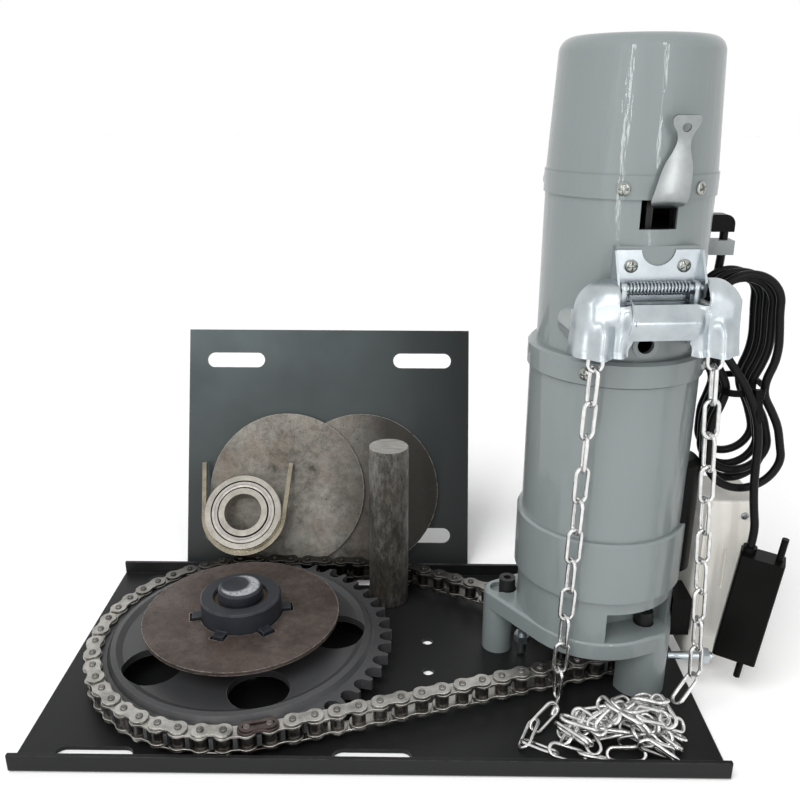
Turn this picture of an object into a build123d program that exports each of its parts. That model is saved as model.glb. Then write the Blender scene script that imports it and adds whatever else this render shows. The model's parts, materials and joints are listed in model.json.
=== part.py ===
from build123d import *
import math
import os

os.makedirs("parts", exist_ok=True)

# Frame: millimetres, +Z up, origin at the centre of the base plate's underside, +X from sprocket to motor.

# Base plate: a folded sheet with a lip up each long edge
PLATE_W = 490.0
PLATE_D = 258.0
SHEET_T = 3.0
LIP_H = 14.0
SLOT_L = 55.0
SLOT_W = 14.0
SLOT_SPACING_X = 194.0
SLOT_MID_X = -95.0
SLOT_EDGE = 15.0
PILOT_R = 4.5
PILOT_X = 43.0
PILOT_SPACING = 40.0

# Roller chain, 15.875 mm pitch, lying with its pins upright
CHAIN_PITCH = 15.875
CHAIN_COUNT = 66
ROLLER_R = 5.08
INNER_WIDTH = 9.4
LINK_H = 14.6
LINK_T = 1.9
CHAIN_Z = 17.0
PIN_R = 2.6
PIN_HEAD = 1.6
LINK_GAP = 0.1

# Sprockets
DRIVEN_TEETH = 46
DRIVE_TEETH = 11
TOOTH_T = 8.6
TOOTH_ADD = 4.6
TIP_HALF = 1.3
SEAT_R = 5.4
AXLE_X = -107.5
AXLE_Y = 1.0
AXLE_R = 18.0
AXLE_END_R = 17.5
AXLE_END_Z = 60.5
AXLE_TOP = 67.0
BUSH_R = 21.0
BUSH_TOP = 57.0
HUB_TOP = 39.8
RUN_GAP = 0.08
WHEEL_HOLES = 5
WHEEL_HOLE_R = 23.0
WHEEL_HOLE_PCR = 76.0
WHEEL_HOLE_PHASE = -71.0
DISC_R = 78.0
DISC_T = 3.0
DISC_Z = 40.0
DOGS = 6
DOG_R = 39.0
COLLAR_R = 32.0
COLLAR_TOP = 60.0

# Loose shaft blank that stands behind the sprocket, inside the chain's slack side
STUB_X = 9.0
STUB_Y = 86.0
STUB_R = 17.5
STUB_TOP = 153.0
STUB_CLEAR = 1.6

# Motor stack, as heights above the plate's underside
FRONT_TURN = 5.0
FLANGE_Z0 = 44.0
FLANGE_Z1 = 58.0
FLANGE_R = 60.5
CHAIN_CLEAR_R = 38.0
NECK_R = 59.5
POCKET_TOP = 82.0
POCKET_TURN = -72.0
BARREL_Z0 = 93.0
BARREL_Z1 = 140.0
BARREL_R = 63.0
BARREL_BORE = 57.0
GEAR_FLOOR = 56.0
GEAR_ROOF = 86.0
MOTOR_R = 59.5
MOTOR_BORE = 55.0
RING_Z0 = 255.0
RING_Z1 = 272.0
RING_R = 61.5
UPPER_R = 55.5
UPPER_BORE = 53.0
UPPER_Z1 = 388.0
SKIRT_Z0 = 375.0
SKIRT_R = 56.7
CAP_R0 = 55.8
CAP_R1 = 52.0
CAP_TOP = 471.0
CAP_ROUND = 10.0
CAP_T = 1.4

# Reduction gears, a reverted two-stage train
GEAR_CENTRES = 30.0
GEAR_DIRECTION = 135.0
PINION_TEETH = 12
WHEEL_TEETH = 36
CLUSTER_TEETH = 12
OUTPUT_TEETH = 24
STAGE1_MODULE = 2 * GEAR_CENTRES / (PINION_TEETH + WHEEL_TEETH)
STAGE2_MODULE = 2 * GEAR_CENTRES / (CLUSTER_TEETH + OUTPUT_TEETH)
SHAFT_R = 8.0
SHAFT_OUT_R = 10.0
OUTPUT_BEARING_R = 20.0
CLUSTER_PIN_R = 5.0

# Feet of the gear casting, from the motor axis
LEFT_FOOT = (-72.0, 16.0)
FRONT_FOOT = (33.0, -31.0)
REAR_FOOT = (32.0, 68.0)
FOOT_RADII = (12.5, 20.0, 14.0)
LEFT_BOLT = (-66.0, 15.0)
BOLT_R = 4.0
BOLT_HEAD_R = 6.5
BOLT_HEAD_H = 14.0

# Brake lever and chain guide on the front of the upper housing
LEVER_X = 8.0
LEVER_W = 19.0
LEVER_T = 2.0
LEVER_PIVOT_Y = -42.0
LEVER_PIVOT_Z = 370.0
WINDOW_X0 = -10.0
WINDOW_X1 = 14.0
WINDOW_Z0 = 357.0
WINDOW_Z1 = 381.0
PAD_Y = -56.0
EYE_X = 1.0
EYE_Y = 57.2
EYE_Z = 283.0
EYE_R = 5.5
EYE_RIM_R = 8.5
SCREW_R = 4.2
SCREW_H = 2.2
HINGE_Y = -64.0
HINGE_Z = 322.0
HINGE_HALF = 27.0
HINGE_X = 3.0
HINGE_PIN_R = 2.5
GUIDE_HALF = 52.5
GUIDE_T = 1.5
GUIDE_TOP = 323.0
GUIDE_BOTTOM = 281.0
SPOUT_X = 38.0
LEFT_STRAND_FOOT = (138.0, -60.0, 12.0)
RIGHT_STRAND_FOOT = (237.0, -64.0, 36.0)
RIGHT_STRAND_END = (222.0, -80.0, 8.0)
SPOUT_R = 14.5
SPOUT_Y = -70.0
SPRING_TURNS = 18
SPRING_PITCH = 2.2
SPRING_MEAN_R = 3.7
SPRING_WIRE = 1.2

# Hand chain: long welded links
HAND_WIRE = 2.8
HAND_PITCH = 23.5
HAND_WIDTH = 12.0
HAND_WHEEL_R = 34.0
HAND_WHEEL_Z = 294.0

# Loose kit that leans on the spare end plate behind the base
LEAN = 20.5
LEAN_Y = 145.5
END_W = 276.0
END_H = 232.0
END_X = -53.0
END_SLOT_L = 57.0
END_SLOT_W = 14.5
END_SLOT_X = 92.0
END_SLOT_EDGE = 30.0
BLANK_R = 75.0
BLANK_T = 4.0
BEARING_R = 36.0
BEARING_BORE = 17.5
BEARING_W = 17.0
BEARING_X = -130.0
BEARING_LEAN = 39.5
BEARING_FOOT_Y = 122.0
CLIP_WIRE = 4.0

# Right side: limit unit, cable hank and receiver
CABLE_D = 6.0
HANK_LOOPS = 5
HANK_STEP = 8.0
HANK_Y = 16.0
HANK_X = 253.0
HANK_TOP = 300.0
HANK_WAIST = 236.0
HANK_LOW = 196.0
HANK_HALF = 18.4
HANK_WAIST_HALF = 7.0
HANK_BULGE = 6.0
HANK_START = (248.5, 22.0, 322.0)
HANK_TAIL = (265.0, -27.0, 245.0)
HANK_END = (273.0, -30.0, 206.0)
COVER_TOP = 188.0
COVER_TURN = -12.0
RECEIVER_X = 281.0
RECEIVER_Y = -36.0
RECEIVER_TURN = -24.0
RECEIVER_TILT = 6.0
RECEIVER_HALF = 15.5
INLET_X = -10.0
RECEIVER_Z0 = 32.0
RECEIVER_Z1 = 120.0


def upright(radius, z0, z1, x=0.0, y=0.0):
    """An upright cylinder between two heights."""
    return Pos(x, y, (z0 + z1) / 2) * Cylinder(radius, z1 - z0)


def tube(r_out, r_in, z0, z1, x=0.0, y=0.0):
    """An upright tube between two heights."""
    return upright(r_out, z0, z1, x, y) - upright(r_in, z0 - 1, z1 + 1, x, y)


def block(x0, x1, y0, y1, z0, z1):
    """A box from its two corners."""
    return Pos((x0 + x1) / 2, (y0 + y1) / 2, (z0 + z1) / 2) * Box(x1 - x0, y1 - y0, z1 - z0)


def prism(points, z0, z1):
    """An upright prism on a closed outline."""
    return Pos(0, 0, z0) * extrude(make_face(Polyline(*points, close=True)), z1 - z0)


def turned(points):
    """A solid of revolution about Z, from (radius, height) points."""
    return revolve(Plane.XZ * make_face(Polyline(*points, close=True)), Axis.Z)


def polar(radius, degrees, x=0.0, y=0.0):
    """A point at a radius and angle from a centre."""
    a = math.radians(degrees)
    return (x + radius * math.cos(a), y + radius * math.sin(a))


def save(name, *shapes):
    """Write one node, as one solid or as a group of separate solids."""
    solids = [s for shape in shapes for s in shape.solids()]
    body = solids[0] if len(solids) == 1 else Compound(children=solids)
    body.label = name
    export_step(body, f"parts/{name}.step")


def pitch_radius(teeth):
    return CHAIN_PITCH / 2 / math.sin(math.pi / teeth)


# Chain route: a loop round the two sprockets and, on its slack side, the standing shaft blank
def tangent_normal(c1, r1, c2, r2):
    """Angle of the outward normal of two circles' outer tangent, on the right of the way from 1 to 2."""
    dx = c2[0] - c1[0]
    dy = c2[1] - c1[1]
    return math.atan2(dy, dx) - math.acos((r1 - r2) / math.hypot(dx, dy))


def chain_route(centre_distance):
    """The loop as arcs and straights, each with its length and a function from distance to point."""
    circles = [
        ((AXLE_X, AXLE_Y), pitch_radius(DRIVEN_TEETH)),
        ((AXLE_X + centre_distance, AXLE_Y), pitch_radius(DRIVE_TEETH)),
        ((STUB_X, STUB_Y), STUB_R + LINK_H / 2 + STUB_CLEAR),
    ]
    count = len(circles)
    normals = [tangent_normal(*circles[i], *circles[(i + 1) % count]) for i in range(count)]
    pieces = []
    for i, (centre, radius) in enumerate(circles):
        a0 = normals[i - 1]
        turn = (normals[i] - a0) % (2 * math.pi)
        pieces.append(("arc", centre, radius, a0, turn))
        nxt, r_nxt = circles[(i + 1) % count]
        a = normals[i]
        start = (centre[0] + radius * math.cos(a), centre[1] + radius * math.sin(a))
        end = (nxt[0] + r_nxt * math.cos(a), nxt[1] + r_nxt * math.sin(a))
        pieces.append(("line", start, end))
    return pieces


def piece_length(piece):
    if piece[0] == "arc":
        return piece[2] * piece[4]
    return math.dist(piece[1], piece[2])


def route_point(pieces, total, s):
    """The point at a distance along the closed loop."""
    s = s % total
    for piece in pieces:
        length = piece_length(piece)
        if s <= length:
            break
        s -= length
    if piece[0] == "arc":
        a = piece[3] + s / piece[2]
        return (piece[1][0] + piece[2] * math.cos(a), piece[1][1] + piece[2] * math.sin(a))
    t = s / length
    return tuple(piece[1][i] + t * (piece[2][i] - piece[1][i]) for i in (0, 1))


def walk_chain(centre_distance):
    """Pin places one pitch apart from the driven sprocket's far side, and how far the last one misses."""
    pieces = chain_route(centre_distance)
    total = sum(piece_length(p) for p in pieces)
    start = (math.pi - pieces[0][3]) % (2 * math.pi) * pieces[0][2]
    s = start
    pins = []
    for _ in range(CHAIN_COUNT):
        here = route_point(pieces, total, s)
        pins.append(here)
        low, high = s + 0.9 * CHAIN_PITCH, s + 1.3 * CHAIN_PITCH
        for _ in range(40):
            mid = (low + high) / 2
            if math.dist(route_point(pieces, total, mid), here) < CHAIN_PITCH:
                low = mid
            else:
                high = mid
        s = low
    return pins, s - start - total


def solve_centres():
    """The centre distance at which the chain closes on a whole number of links."""
    low, high = 265.0, 305.0
    for _ in range(40):
        mid = (low + high) / 2
        if walk_chain(mid)[1] > 0:
            low = mid
        else:
            high = mid
    return low


CENTRES = solve_centres()
MOTOR_X = AXLE_X + CENTRES
MOTOR_Y = AXLE_Y
PINS = walk_chain(CENTRES)[0]
print(f"centre distance {CENTRES:.3f}, motor axis x {MOTOR_X:.3f}")


def at_motor(shape):
    """Place a piece drawn about Z on the motor axis."""
    return Pos(MOTOR_X, MOTOR_Y, 0) * shape


def at_front(shape):
    """Place a piece drawn with the motor's front toward -Y."""
    return Pos(MOTOR_X, MOTOR_Y, 0) * Rot(0, 0, FRONT_TURN) * shape


def at_hinge(shape):
    """Place a piece drawn about the middle of the guide's hinge."""
    return at_front(Pos(HINGE_X, 0, 0) * shape)


def leaning(shape):
    """Place a piece drawn flat, with X across, Y up the end plate and Z out of its face."""
    frame = Plane(origin=(0, LEAN_Y, 0), x_dir=(1, 0, 0), z_dir=(0, -math.cos(math.radians(LEAN)),
                                                                 math.sin(math.radians(LEAN))))
    return frame * shape


# Toothed outlines
def sprocket_outline(teeth, phase):
    """A roller-chain sprocket's outline: faceted roller seats and blunt tips, a seat at the phase angle."""
    radius = pitch_radius(teeth)
    step = 360 / teeth
    seat = SEAT_R / math.cos(math.radians(20))
    tip = radius + TOOTH_ADD
    lean = math.degrees(TIP_HALF / tip)
    points = []
    for k in range(teeth):
        a = phase + k * step
        cx, cy = polar(radius, a)
        for side in (-60, -20, 20, 60):
            points.append(polar(seat, a + 180 - side, cx, cy))
        points.append(polar(tip, a + step / 2 - lean))
        points.append(polar(tip, a + step / 2 + lean))
    return points


def gear_outline(teeth, module, phase):
    """A spur gear's outline with slim straight-flanked teeth, a tooth at the phase angle."""
    radius = teeth * module / 2
    step = 360 / teeth
    root, tip = radius - 1.2 * module, radius + 0.9 * module
    points = []
    for k in range(teeth):
        a = phase + k * step
        points.append(polar(root, a - 0.30 * step))
        points.append(polar(tip, a - 0.10 * step))
        points.append(polar(tip, a + 0.10 * step))
        points.append(polar(root, a + 0.30 * step))
    return points


# Base plate and what is fixed to it
def foot_places():
    return [(MOTOR_X + dx, MOTOR_Y + dy) for dx, dy in (LEFT_BOLT, FRONT_FOOT, REAR_FOOT)]


def make_base_plate():
    half_d = PLATE_D / 2
    inside = half_d - SHEET_T
    section = [(-half_d, 0), (half_d, 0), (half_d, LIP_H), (inside, LIP_H), (inside, SHEET_T),
               (-inside, SHEET_T), (-inside, LIP_H), (-half_d, LIP_H)]
    plate = extrude(Plane.YZ * make_face(Polyline(*section, close=True)), PLATE_W / 2, both=True)
    bends = plate.edges().filter_by(Axis.X).group_by(Axis.Z)[0]
    plate = fillet(bends, SHEET_T * 0.8)
    for side in (-1, 1):
        for end in (-1, 1):
            place = Pos(SLOT_MID_X + end * SLOT_SPACING_X / 2, side * (half_d - SLOT_EDGE), 0)
            plate -= place * extrude(SlotOverall(SLOT_L, SLOT_W), SHEET_T * 2, both=True)
        plate -= upright(PILOT_R, -1, SHEET_T + 1, PILOT_X, side * PILOT_SPACING / 2)
    for x, y in foot_places():
        plate -= upright(BOLT_R, -1, SHEET_T + 1, x, y)
    save("base_plate", plate)


def make_axle():
    journal = upright(AXLE_R, SHEET_T, AXLE_END_Z, AXLE_X, AXLE_Y)
    end = upright(AXLE_END_R, AXLE_END_Z, AXLE_TOP, AXLE_X, AXLE_Y)
    save("axle", journal + chamfer(end.edges().group_by(Axis.Z)[-1], 1.5))
    save("thrust_washer", tube(30, AXLE_R + RUN_GAP, SHEET_T, 8, AXLE_X, AXLE_Y))


# Driven wheel: dished sprocket, dog hub and the plate it drives
def make_driven_wheel():
    radius = pitch_radius(DRIVEN_TEETH)
    low = CHAIN_Z - TOOTH_T / 2
    high = CHAIN_Z + TOOTH_T / 2
    rim = radius - 8
    profile = [(BUSH_R, 8.2), (34, 8.2), (34, 18), (97, 18), (100, low), (rim, low), (rim, high),
               (106, high), (103, 25.6), (99, 26.4), (94, 24), (40, 24), (37, HUB_TOP), (BUSH_R, HUB_TOP)]
    web = turned(profile)
    teeth = prism(sprocket_outline(DRIVEN_TEETH, 180), low, high) - upright(rim - 1, low - 1, high + 1)
    wheel = web + teeth
    for k in range(WHEEL_HOLES):
        x, y = polar(WHEEL_HOLE_PCR, WHEEL_HOLE_PHASE + k * 360 / WHEEL_HOLES)
        wheel -= upright(WHEEL_HOLE_R, 0, 40, x, y)
    save("driven_sprocket", Pos(AXLE_X, AXLE_Y, 0) * wheel)

    hub = tube(COLLAR_R, BUSH_R, DISC_Z, COLLAR_TOP)
    hub = chamfer(hub.edges().group_by(Axis.Z)[-1], 1.2)
    notched = tube(DISC_R, COLLAR_R + 0.8, DISC_Z, DISC_Z + DISC_T)
    for k in range(DOGS):
        turn = Rot(0, 0, k * 360 / DOGS + 12)
        hub += turn * block(COLLAR_R - 3, DOG_R, -4.5, 4.5, DISC_Z, DISC_Z + 5)
        notched -= turn * block(COLLAR_R - 3, DOG_R + 2, -6, 6, DISC_Z - 1, DISC_Z + 6)
    save("dog_hub", Pos(AXLE_X, AXLE_Y, 0) * hub)
    save("flange_disc", Pos(AXLE_X, AXLE_Y, 0) * notched)
    save("axle_bush", tube(BUSH_R, AXLE_R + RUN_GAP, 8.2, BUSH_TOP, AXLE_X, AXLE_Y))


# Roller chain
def link_outline(height, waist):
    """One link plate about its middle, along X: two eight-sided eyes and a drawn-in waist."""
    points = []
    for side in (1, -1):
        for a in (-90, -45, 0, 45, 90):
            x, y = polar(height / 2, a)
            points.append((side * (CHAIN_PITCH / 2 + x), side * y))
        points.append((0, side * waist))
    return points


def link_place(k):
    """The frame of the link that starts at pin k."""
    (x0, y0), (x1, y1) = PINS[k], PINS[(k + 1) % CHAIN_COUNT]
    return Pos((x0 + x1) / 2, (y0 + y1) / 2, CHAIN_Z) * Rot(0, 0, math.degrees(math.atan2(y1 - y0, x1 - x0)))


def mirrored_pair(shape):
    """A piece above the chain's middle plane and its twin below."""
    return [shape, Rot(180, 0, 0) * shape]


def make_chain():
    inner_z = INNER_WIDTH / 2 + LINK_GAP / 2
    outer_z = inner_z + LINK_T + LINK_GAP
    inner_plate = prism(link_outline(LINK_H, 4.6), inner_z, inner_z + LINK_T)
    outer_plate = prism(link_outline(LINK_H - 1.2, 4.0), outer_z, outer_z + LINK_T)
    roller = extrude(RegularPolygon(ROLLER_R, 8), INNER_WIDTH / 2, both=True)
    head = Pos(0, 0, outer_z + LINK_T) * extrude(RegularPolygon(PIN_R, 6), PIN_HEAD)
    ends = [Pos(side * CHAIN_PITCH / 2, 0, 0) for side in (-1, 1)]
    inner = mirrored_pair(inner_plate) + [end * roller for end in ends]
    heads = [end * head for end in ends]
    outer = mirrored_pair(outer_plate) + heads + [Rot(180, 0, 0) * h for h in heads]
    clip_plate = prism(link_outline(LINK_H - 4, 3.4), outer_z + LINK_T, outer_z + LINK_T + 1.2)
    joining = mirrored_pair(outer_plate) + [clip_plate, Rot(180, 0, 0) * heads[0], Rot(180, 0, 0) * heads[1]]
    joining_at = min(range(1, CHAIN_COUNT, 2), key=lambda k: math.dist(PINS[k], (-85, -112)))
    inner_links = []
    outer_links = []
    for k in range(CHAIN_COUNT):
        place = link_place(k)
        if k % 2 == 0:
            inner_links += [place * s for s in inner]
        elif k == joining_at:
            save("connecting_link", *[place * s for s in joining])
        else:
            outer_links += [place * s for s in outer]
    save("chain_inner_links", *inner_links)
    save("chain_outer_links", *outer_links)


# Gear casting with its feet, and the output
def casting_flange():
    """The lobed plate over the feet."""
    outline = [Circle(FLANGE_R).edge()]
    for f, r in zip((LEFT_FOOT, FRONT_FOOT, REAR_FOOT), FOOT_RADII):
        outline.append((Pos(*f) * Circle(r)).edge())
    return Pos(0, 0, FLANGE_Z0) * extrude(make_hull(outline), FLANGE_Z1 - FLANGE_Z0)


def make_gear_casting():
    casting = fillet(casting_flange().edges().group_by(Axis.Z)[-1], 2.5)
    for f, r in zip((LEFT_FOOT, FRONT_FOOT, REAR_FOOT), FOOT_RADII):
        casting += upright(r, SHEET_T, FLANGE_Z0 + 2, *f)
    casting -= upright(CHAIN_CLEAR_R, 0, FLANGE_Z0)
    casting += turned([(0, FLANGE_Z0 + 2), (NECK_R, FLANGE_Z0 + 2), (NECK_R, BARREL_Z0 - 2),
                       (BARREL_R, BARREL_Z0), (BARREL_R, BARREL_Z1 - 1.5), (BARREL_R - 1.5, BARREL_Z1),
                       (0, BARREL_Z1)])
    cluster = polar(GEAR_CENTRES, GEAR_DIRECTION)
    casting -= upright(BARREL_BORE, GEAR_ROOF - 1, BARREL_Z1 + 1)
    casting -= upright(30, GEAR_FLOOR, GEAR_ROOF)
    casting -= upright(14, GEAR_FLOOR, GEAR_ROOF, *cluster)
    casting -= upright(OUTPUT_BEARING_R + 0.05, 0, GEAR_FLOOR + 1)
    casting -= upright(CLUSTER_PIN_R, GEAR_FLOOR - 6, GEAR_FLOOR + 1, *cluster)
    pocket = Rot(0, 0, POCKET_TURN) * block(34, 80, -21, 35, FLANGE_Z1, POCKET_TOP)
    casting -= fillet(pocket.edges().filter_by(Axis.Z), 3)
    for f in (LEFT_BOLT, FRONT_FOOT, REAR_FOOT):
        casting -= upright(BOLT_R + 0.3, 0, FLANGE_Z1 + 1, *f)
        casting -= upright(BOLT_HEAD_R + 1.2, FLANGE_Z1 - 4, POCKET_TOP, *f)
    casting -= upright(BOLT_HEAD_R + 1.2, FLANGE_Z1 - 4, FLANGE_Z1 + 1, *LEFT_FOOT)
    save("gear_casting", at_motor(casting))

    bolts = []
    for x, y in foot_places():
        seat = FLANGE_Z1 - 4
        bolt = upright(BOLT_R - 0.1, 0.6, seat, x, y) + upright(BOLT_HEAD_R, seat, seat + BOLT_HEAD_H, x, y)
        bolt -= Pos(x, y, seat + BOLT_HEAD_H - 4) * extrude(RegularPolygon(3.4, 6), 4)
        bolts.append(bolt)
    save("foot_bolts", *bolts)
    save("output_bearing", at_motor(tube(OUTPUT_BEARING_R, SHAFT_OUT_R + RUN_GAP, FLANGE_Z0 + 1, GEAR_FLOOR)))


def make_output():
    low = CHAIN_Z - TOOTH_T / 2
    first = next(p for p in PINS if math.dist(p, (MOTOR_X, MOTOR_Y)) < pitch_radius(DRIVE_TEETH) + 0.01)
    phase = math.degrees(math.atan2(first[1] - MOTOR_Y, first[0] - MOTOR_X))
    wheel = prism(sprocket_outline(DRIVE_TEETH, phase), low, low + TOOTH_T) + upright(17, low, FLANGE_Z0 - 2)
    save("drive_sprocket", at_motor(wheel - upright(SHAFT_OUT_R, 0, 60)))
    shaft = upright(SHAFT_OUT_R, 5, 82)
    save("output_shaft", at_motor(chamfer(shaft.edges().filter_by(GeomType.CIRCLE), 1)))
    gear = prism(gear_outline(OUTPUT_TEETH, STAGE2_MODULE, GEAR_DIRECTION), 66, 78)
    save("output_gear", at_motor(gear - upright(SHAFT_OUT_R, 60, 90)))


def make_gears():
    x, y = polar(GEAR_CENTRES, GEAR_DIRECTION)
    back = GEAR_DIRECTION + 180
    cluster = prism(gear_outline(CLUSTER_TEETH, STAGE2_MODULE, back + 180 / CLUSTER_TEETH), 64, 86)
    cluster += prism(gear_outline(WHEEL_TEETH, STAGE1_MODULE, back), 86, 96)
    cluster -= upright(CLUSTER_PIN_R + RUN_GAP, 60, 100)
    save("cluster_gear", at_motor(Pos(x, y, 0) * cluster))
    save("cluster_pin", at_motor(upright(CLUSTER_PIN_R, GEAR_FLOOR - 6, 117, x, y)))
    pinion = prism(gear_outline(PINION_TEETH, STAGE1_MODULE, GEAR_DIRECTION + 180 / PINION_TEETH), 85, 98)
    shaft = upright(SHAFT_R - 2.5, 98, 104) + upright(SHAFT_R, 104, 372)
    save("rotor_shaft", at_motor(shaft + pinion))


# Motor: housings, end shield, stator, rotor and bearings
def make_motor():
    shield = upright(57, 117, 126) - upright(17.5, 116, 130)
    shield += tube(54.8, 48, 126, BARREL_Z1)
    save("end_shield", at_motor(shield))
    housing = tube(MOTOR_R, MOTOR_BORE, BARREL_Z1, RING_Z0)
    housing = chamfer(housing.edges().group_by(Axis.Z)[-1].filter_by(lambda e: e.length > 6 * MOTOR_R), 1.2)
    save("motor_housing", at_motor(housing))
    core = tube(MOTOR_BORE - 0.05, 27, 152, 226)
    for k in range(12):
        core -= Rot(0, 0, 30 * k) * block(28, 42, -3, 3, 150, 230)
    save("stator_core", at_motor(core))
    save("stator_windings", *[at_motor(turned([(32, z), (36, z + d), (47, z + d), (50, z)]))
                              for z, d in ((151.8, -9), (226.2, 9))])
    save("rotor_core", at_motor(tube(26.4, SHAFT_R, 154, 224)))
    save("rotor_bearings", *[at_motor(tube(17.4, SHAFT_R + RUN_GAP, z, z + 9)) for z in (117, 258)])
    ring = turned([(17.5, 257), (30, 257), (30, 263), (MOTOR_BORE, 263), (MOTOR_BORE, RING_Z0),
                   (RING_R, RING_Z0), (RING_R, RING_Z1 - 2), (RING_R - 2, RING_Z1), (UPPER_BORE, RING_Z1),
                   (UPPER_BORE, 268), (17.5, 268)])
    save("flange_ring", at_motor(ring))


def make_upper_housing():
    shell = upright(UPPER_R, RING_Z1, UPPER_Z1)
    shell += block(HINGE_X - HINGE_HALF, HINGE_X + HINGE_HALF, PAD_Y, 0, 311, 347)
    for side in (-1, 1):
        boss = Pos(HINGE_X + side * SPOUT_X, PAD_Y, HAND_WHEEL_Z) * Rot(-90, 0, 0)
        shell += boss * Pos(0, 0, 15) * Cylinder(15, 30)
    shell += Pos(EYE_X, 0, EYE_Z) * Rot(90, 0, 0) * Pos(0, 0, EYE_Y / 2) * Cylinder(EYE_RIM_R, EYE_Y)
    shell -= upright(UPPER_BORE, RING_Z1 - 1, UPPER_Z1 + 1)
    shell -= Pos(EYE_X, -EYE_Y, EYE_Z) * Rot(90, 0, 0) * Cylinder(EYE_R, 40)
    for side in (-1, 1):
        shell -= Pos(HINGE_X + side * SPOUT_X, -40, HAND_WHEEL_Z) * Rot(90, 0, 0) * Cylinder(10, 60)
    shell -= block(WINDOW_X0, WINDOW_X1, -70, -20, WINDOW_Z0, WINDOW_Z1)
    save("upper_housing", at_front(shell))

    wall = CAP_T
    outer = [(CAP_R0, UPPER_Z1 + 1.5), (CAP_R1, CAP_TOP - CAP_ROUND)]
    cap_line = Line((0, CAP_TOP), (CAP_R1 - CAP_ROUND, CAP_TOP))
    corner = TangentArc((CAP_R1 - CAP_ROUND, CAP_TOP), outer[1], tangent=(1, 0))
    skirt = [(SKIRT_R, UPPER_Z1 + 1.5), (SKIRT_R, SKIRT_Z0), (UPPER_R + 0.1, SKIRT_Z0),
             (UPPER_R + 0.1, UPPER_Z1)]
    inside = [(CAP_R0 - wall, UPPER_Z1), (CAP_R1 - wall, CAP_TOP - CAP_ROUND),
              (CAP_R1 - CAP_ROUND, CAP_TOP - wall), (0, CAP_TOP - wall)]
    sides = Polyline(outer[1], outer[0], *skirt, *inside, (0, CAP_TOP))
    profile = make_face(cap_line + corner + sides)
    save("top_cap", at_front(revolve(Plane.XZ * profile, Axis.Z)))


def screw(radius, height):
    """A pan-head screw's head, standing on Z = 0."""
    head = Cylinder(radius, height, align=(Align.CENTER, Align.CENTER, Align.MIN))
    return chamfer(head.edges().group_by(Axis.Z)[-1], height * 0.5)


def facing(angle, radius, z):
    """The frame of a piece on a round wall: its Z points out of the wall at an angle round the motor."""
    return Rot(0, 0, angle) * Pos(radius, 0, z) * Rot(0, 90, 0)


def make_screws():
    band = (SKIRT_Z0 + UPPER_Z1) / 2
    ring = (RING_Z0 + RING_Z1) / 2 - 1
    head = screw(SCREW_R, SCREW_H)
    places = [facing(a, SKIRT_R, band) for a in (-112, -60, 30, 150)]
    places += [facing(a, RING_R, ring) for a in (-125, -35, 55, 145)]
    places += [Pos(HINGE_X + side * 17, PAD_Y - 1.5, 335) * Rot(90, 0, 0) for side in (-1, 1)]
    save("housing_screws", *[at_front(place * head) for place in places])


# Brake on the rotor shaft, with its release lever through the window
def make_brake():
    save("brake_disc", at_motor(tube(40, SHAFT_R, 328, 334)))
    magnet = tube(46, 12, 337, 356)
    magnet += tube(52.9, 44, 337, 346)
    lugs = [block(x, x + 4, LEVER_PIVOT_Y - 3.5, LEVER_PIVOT_Y + 3.5, 350, LEVER_PIVOT_Z + 4)
            for x in (LEVER_X - 11, LEVER_X + 7)]
    for lug in lugs:
        magnet += lug
    pin_hole = Pos(LEVER_X, LEVER_PIVOT_Y, LEVER_PIVOT_Z) * Rot(0, 90, 0) * Cylinder(1.6, 40)
    save("brake_magnet", at_front(magnet - pin_hole))
    pin = Pos(LEVER_X, LEVER_PIVOT_Y, LEVER_PIVOT_Z) * Rot(0, 90, 0) * Cylinder(1.5, 22)
    save("lever_pin", at_front(pin))

    path = Polyline((LEVER_PIVOT_Y, LEVER_PIVOT_Z), (-56, LEVER_PIVOT_Z))
    bend = TangentArc((-56, LEVER_PIVOT_Z), (-64, LEVER_PIVOT_Z + 8), tangent=(-1, 0))
    rise = TangentArc((-64, LEVER_PIVOT_Z + 8), (-59.5, 409), tangent=(0, 1))
    tab = TangentArc((-59.5, 409), (-64.5, 425), tangent=rise % 1)
    strip = Plane.YZ * trace(path + bend + rise + tab, LEVER_T)
    strip = extrude(strip, LEVER_W / 2, both=True)
    side = [(5.5, 360), (5.5, 372), (9.5, 377), (8.5, 398), (4.2, 409), (4.8, 414), (8.5, 420), (7.5, 425)]
    inside = Plane.XZ * make_face(Polyline(*side, *[(-x, z) for x, z in reversed(side)], close=True))
    strip = strip & extrude(inside, 100, both=True)
    foot = Plane.YZ * trace(path, LEVER_T)
    strip += extrude(foot, 5.5, both=True)
    strip += Pos(0, LEVER_PIVOT_Y, LEVER_PIVOT_Z) * Rot(0, 90, 0) * Cylinder(3.2, 11)
    strip -= Pos(0, LEVER_PIVOT_Y, LEVER_PIVOT_Z) * Rot(0, 90, 0) * Cylinder(1.5 + RUN_GAP, 20)
    strip -= Pos(0, -62, 418.5) * Rot(90, 0, 0) * Cylinder(2.8, 20)
    save("brake_lever", at_front(Pos(LEVER_X, 0, 0) * strip))


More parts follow.
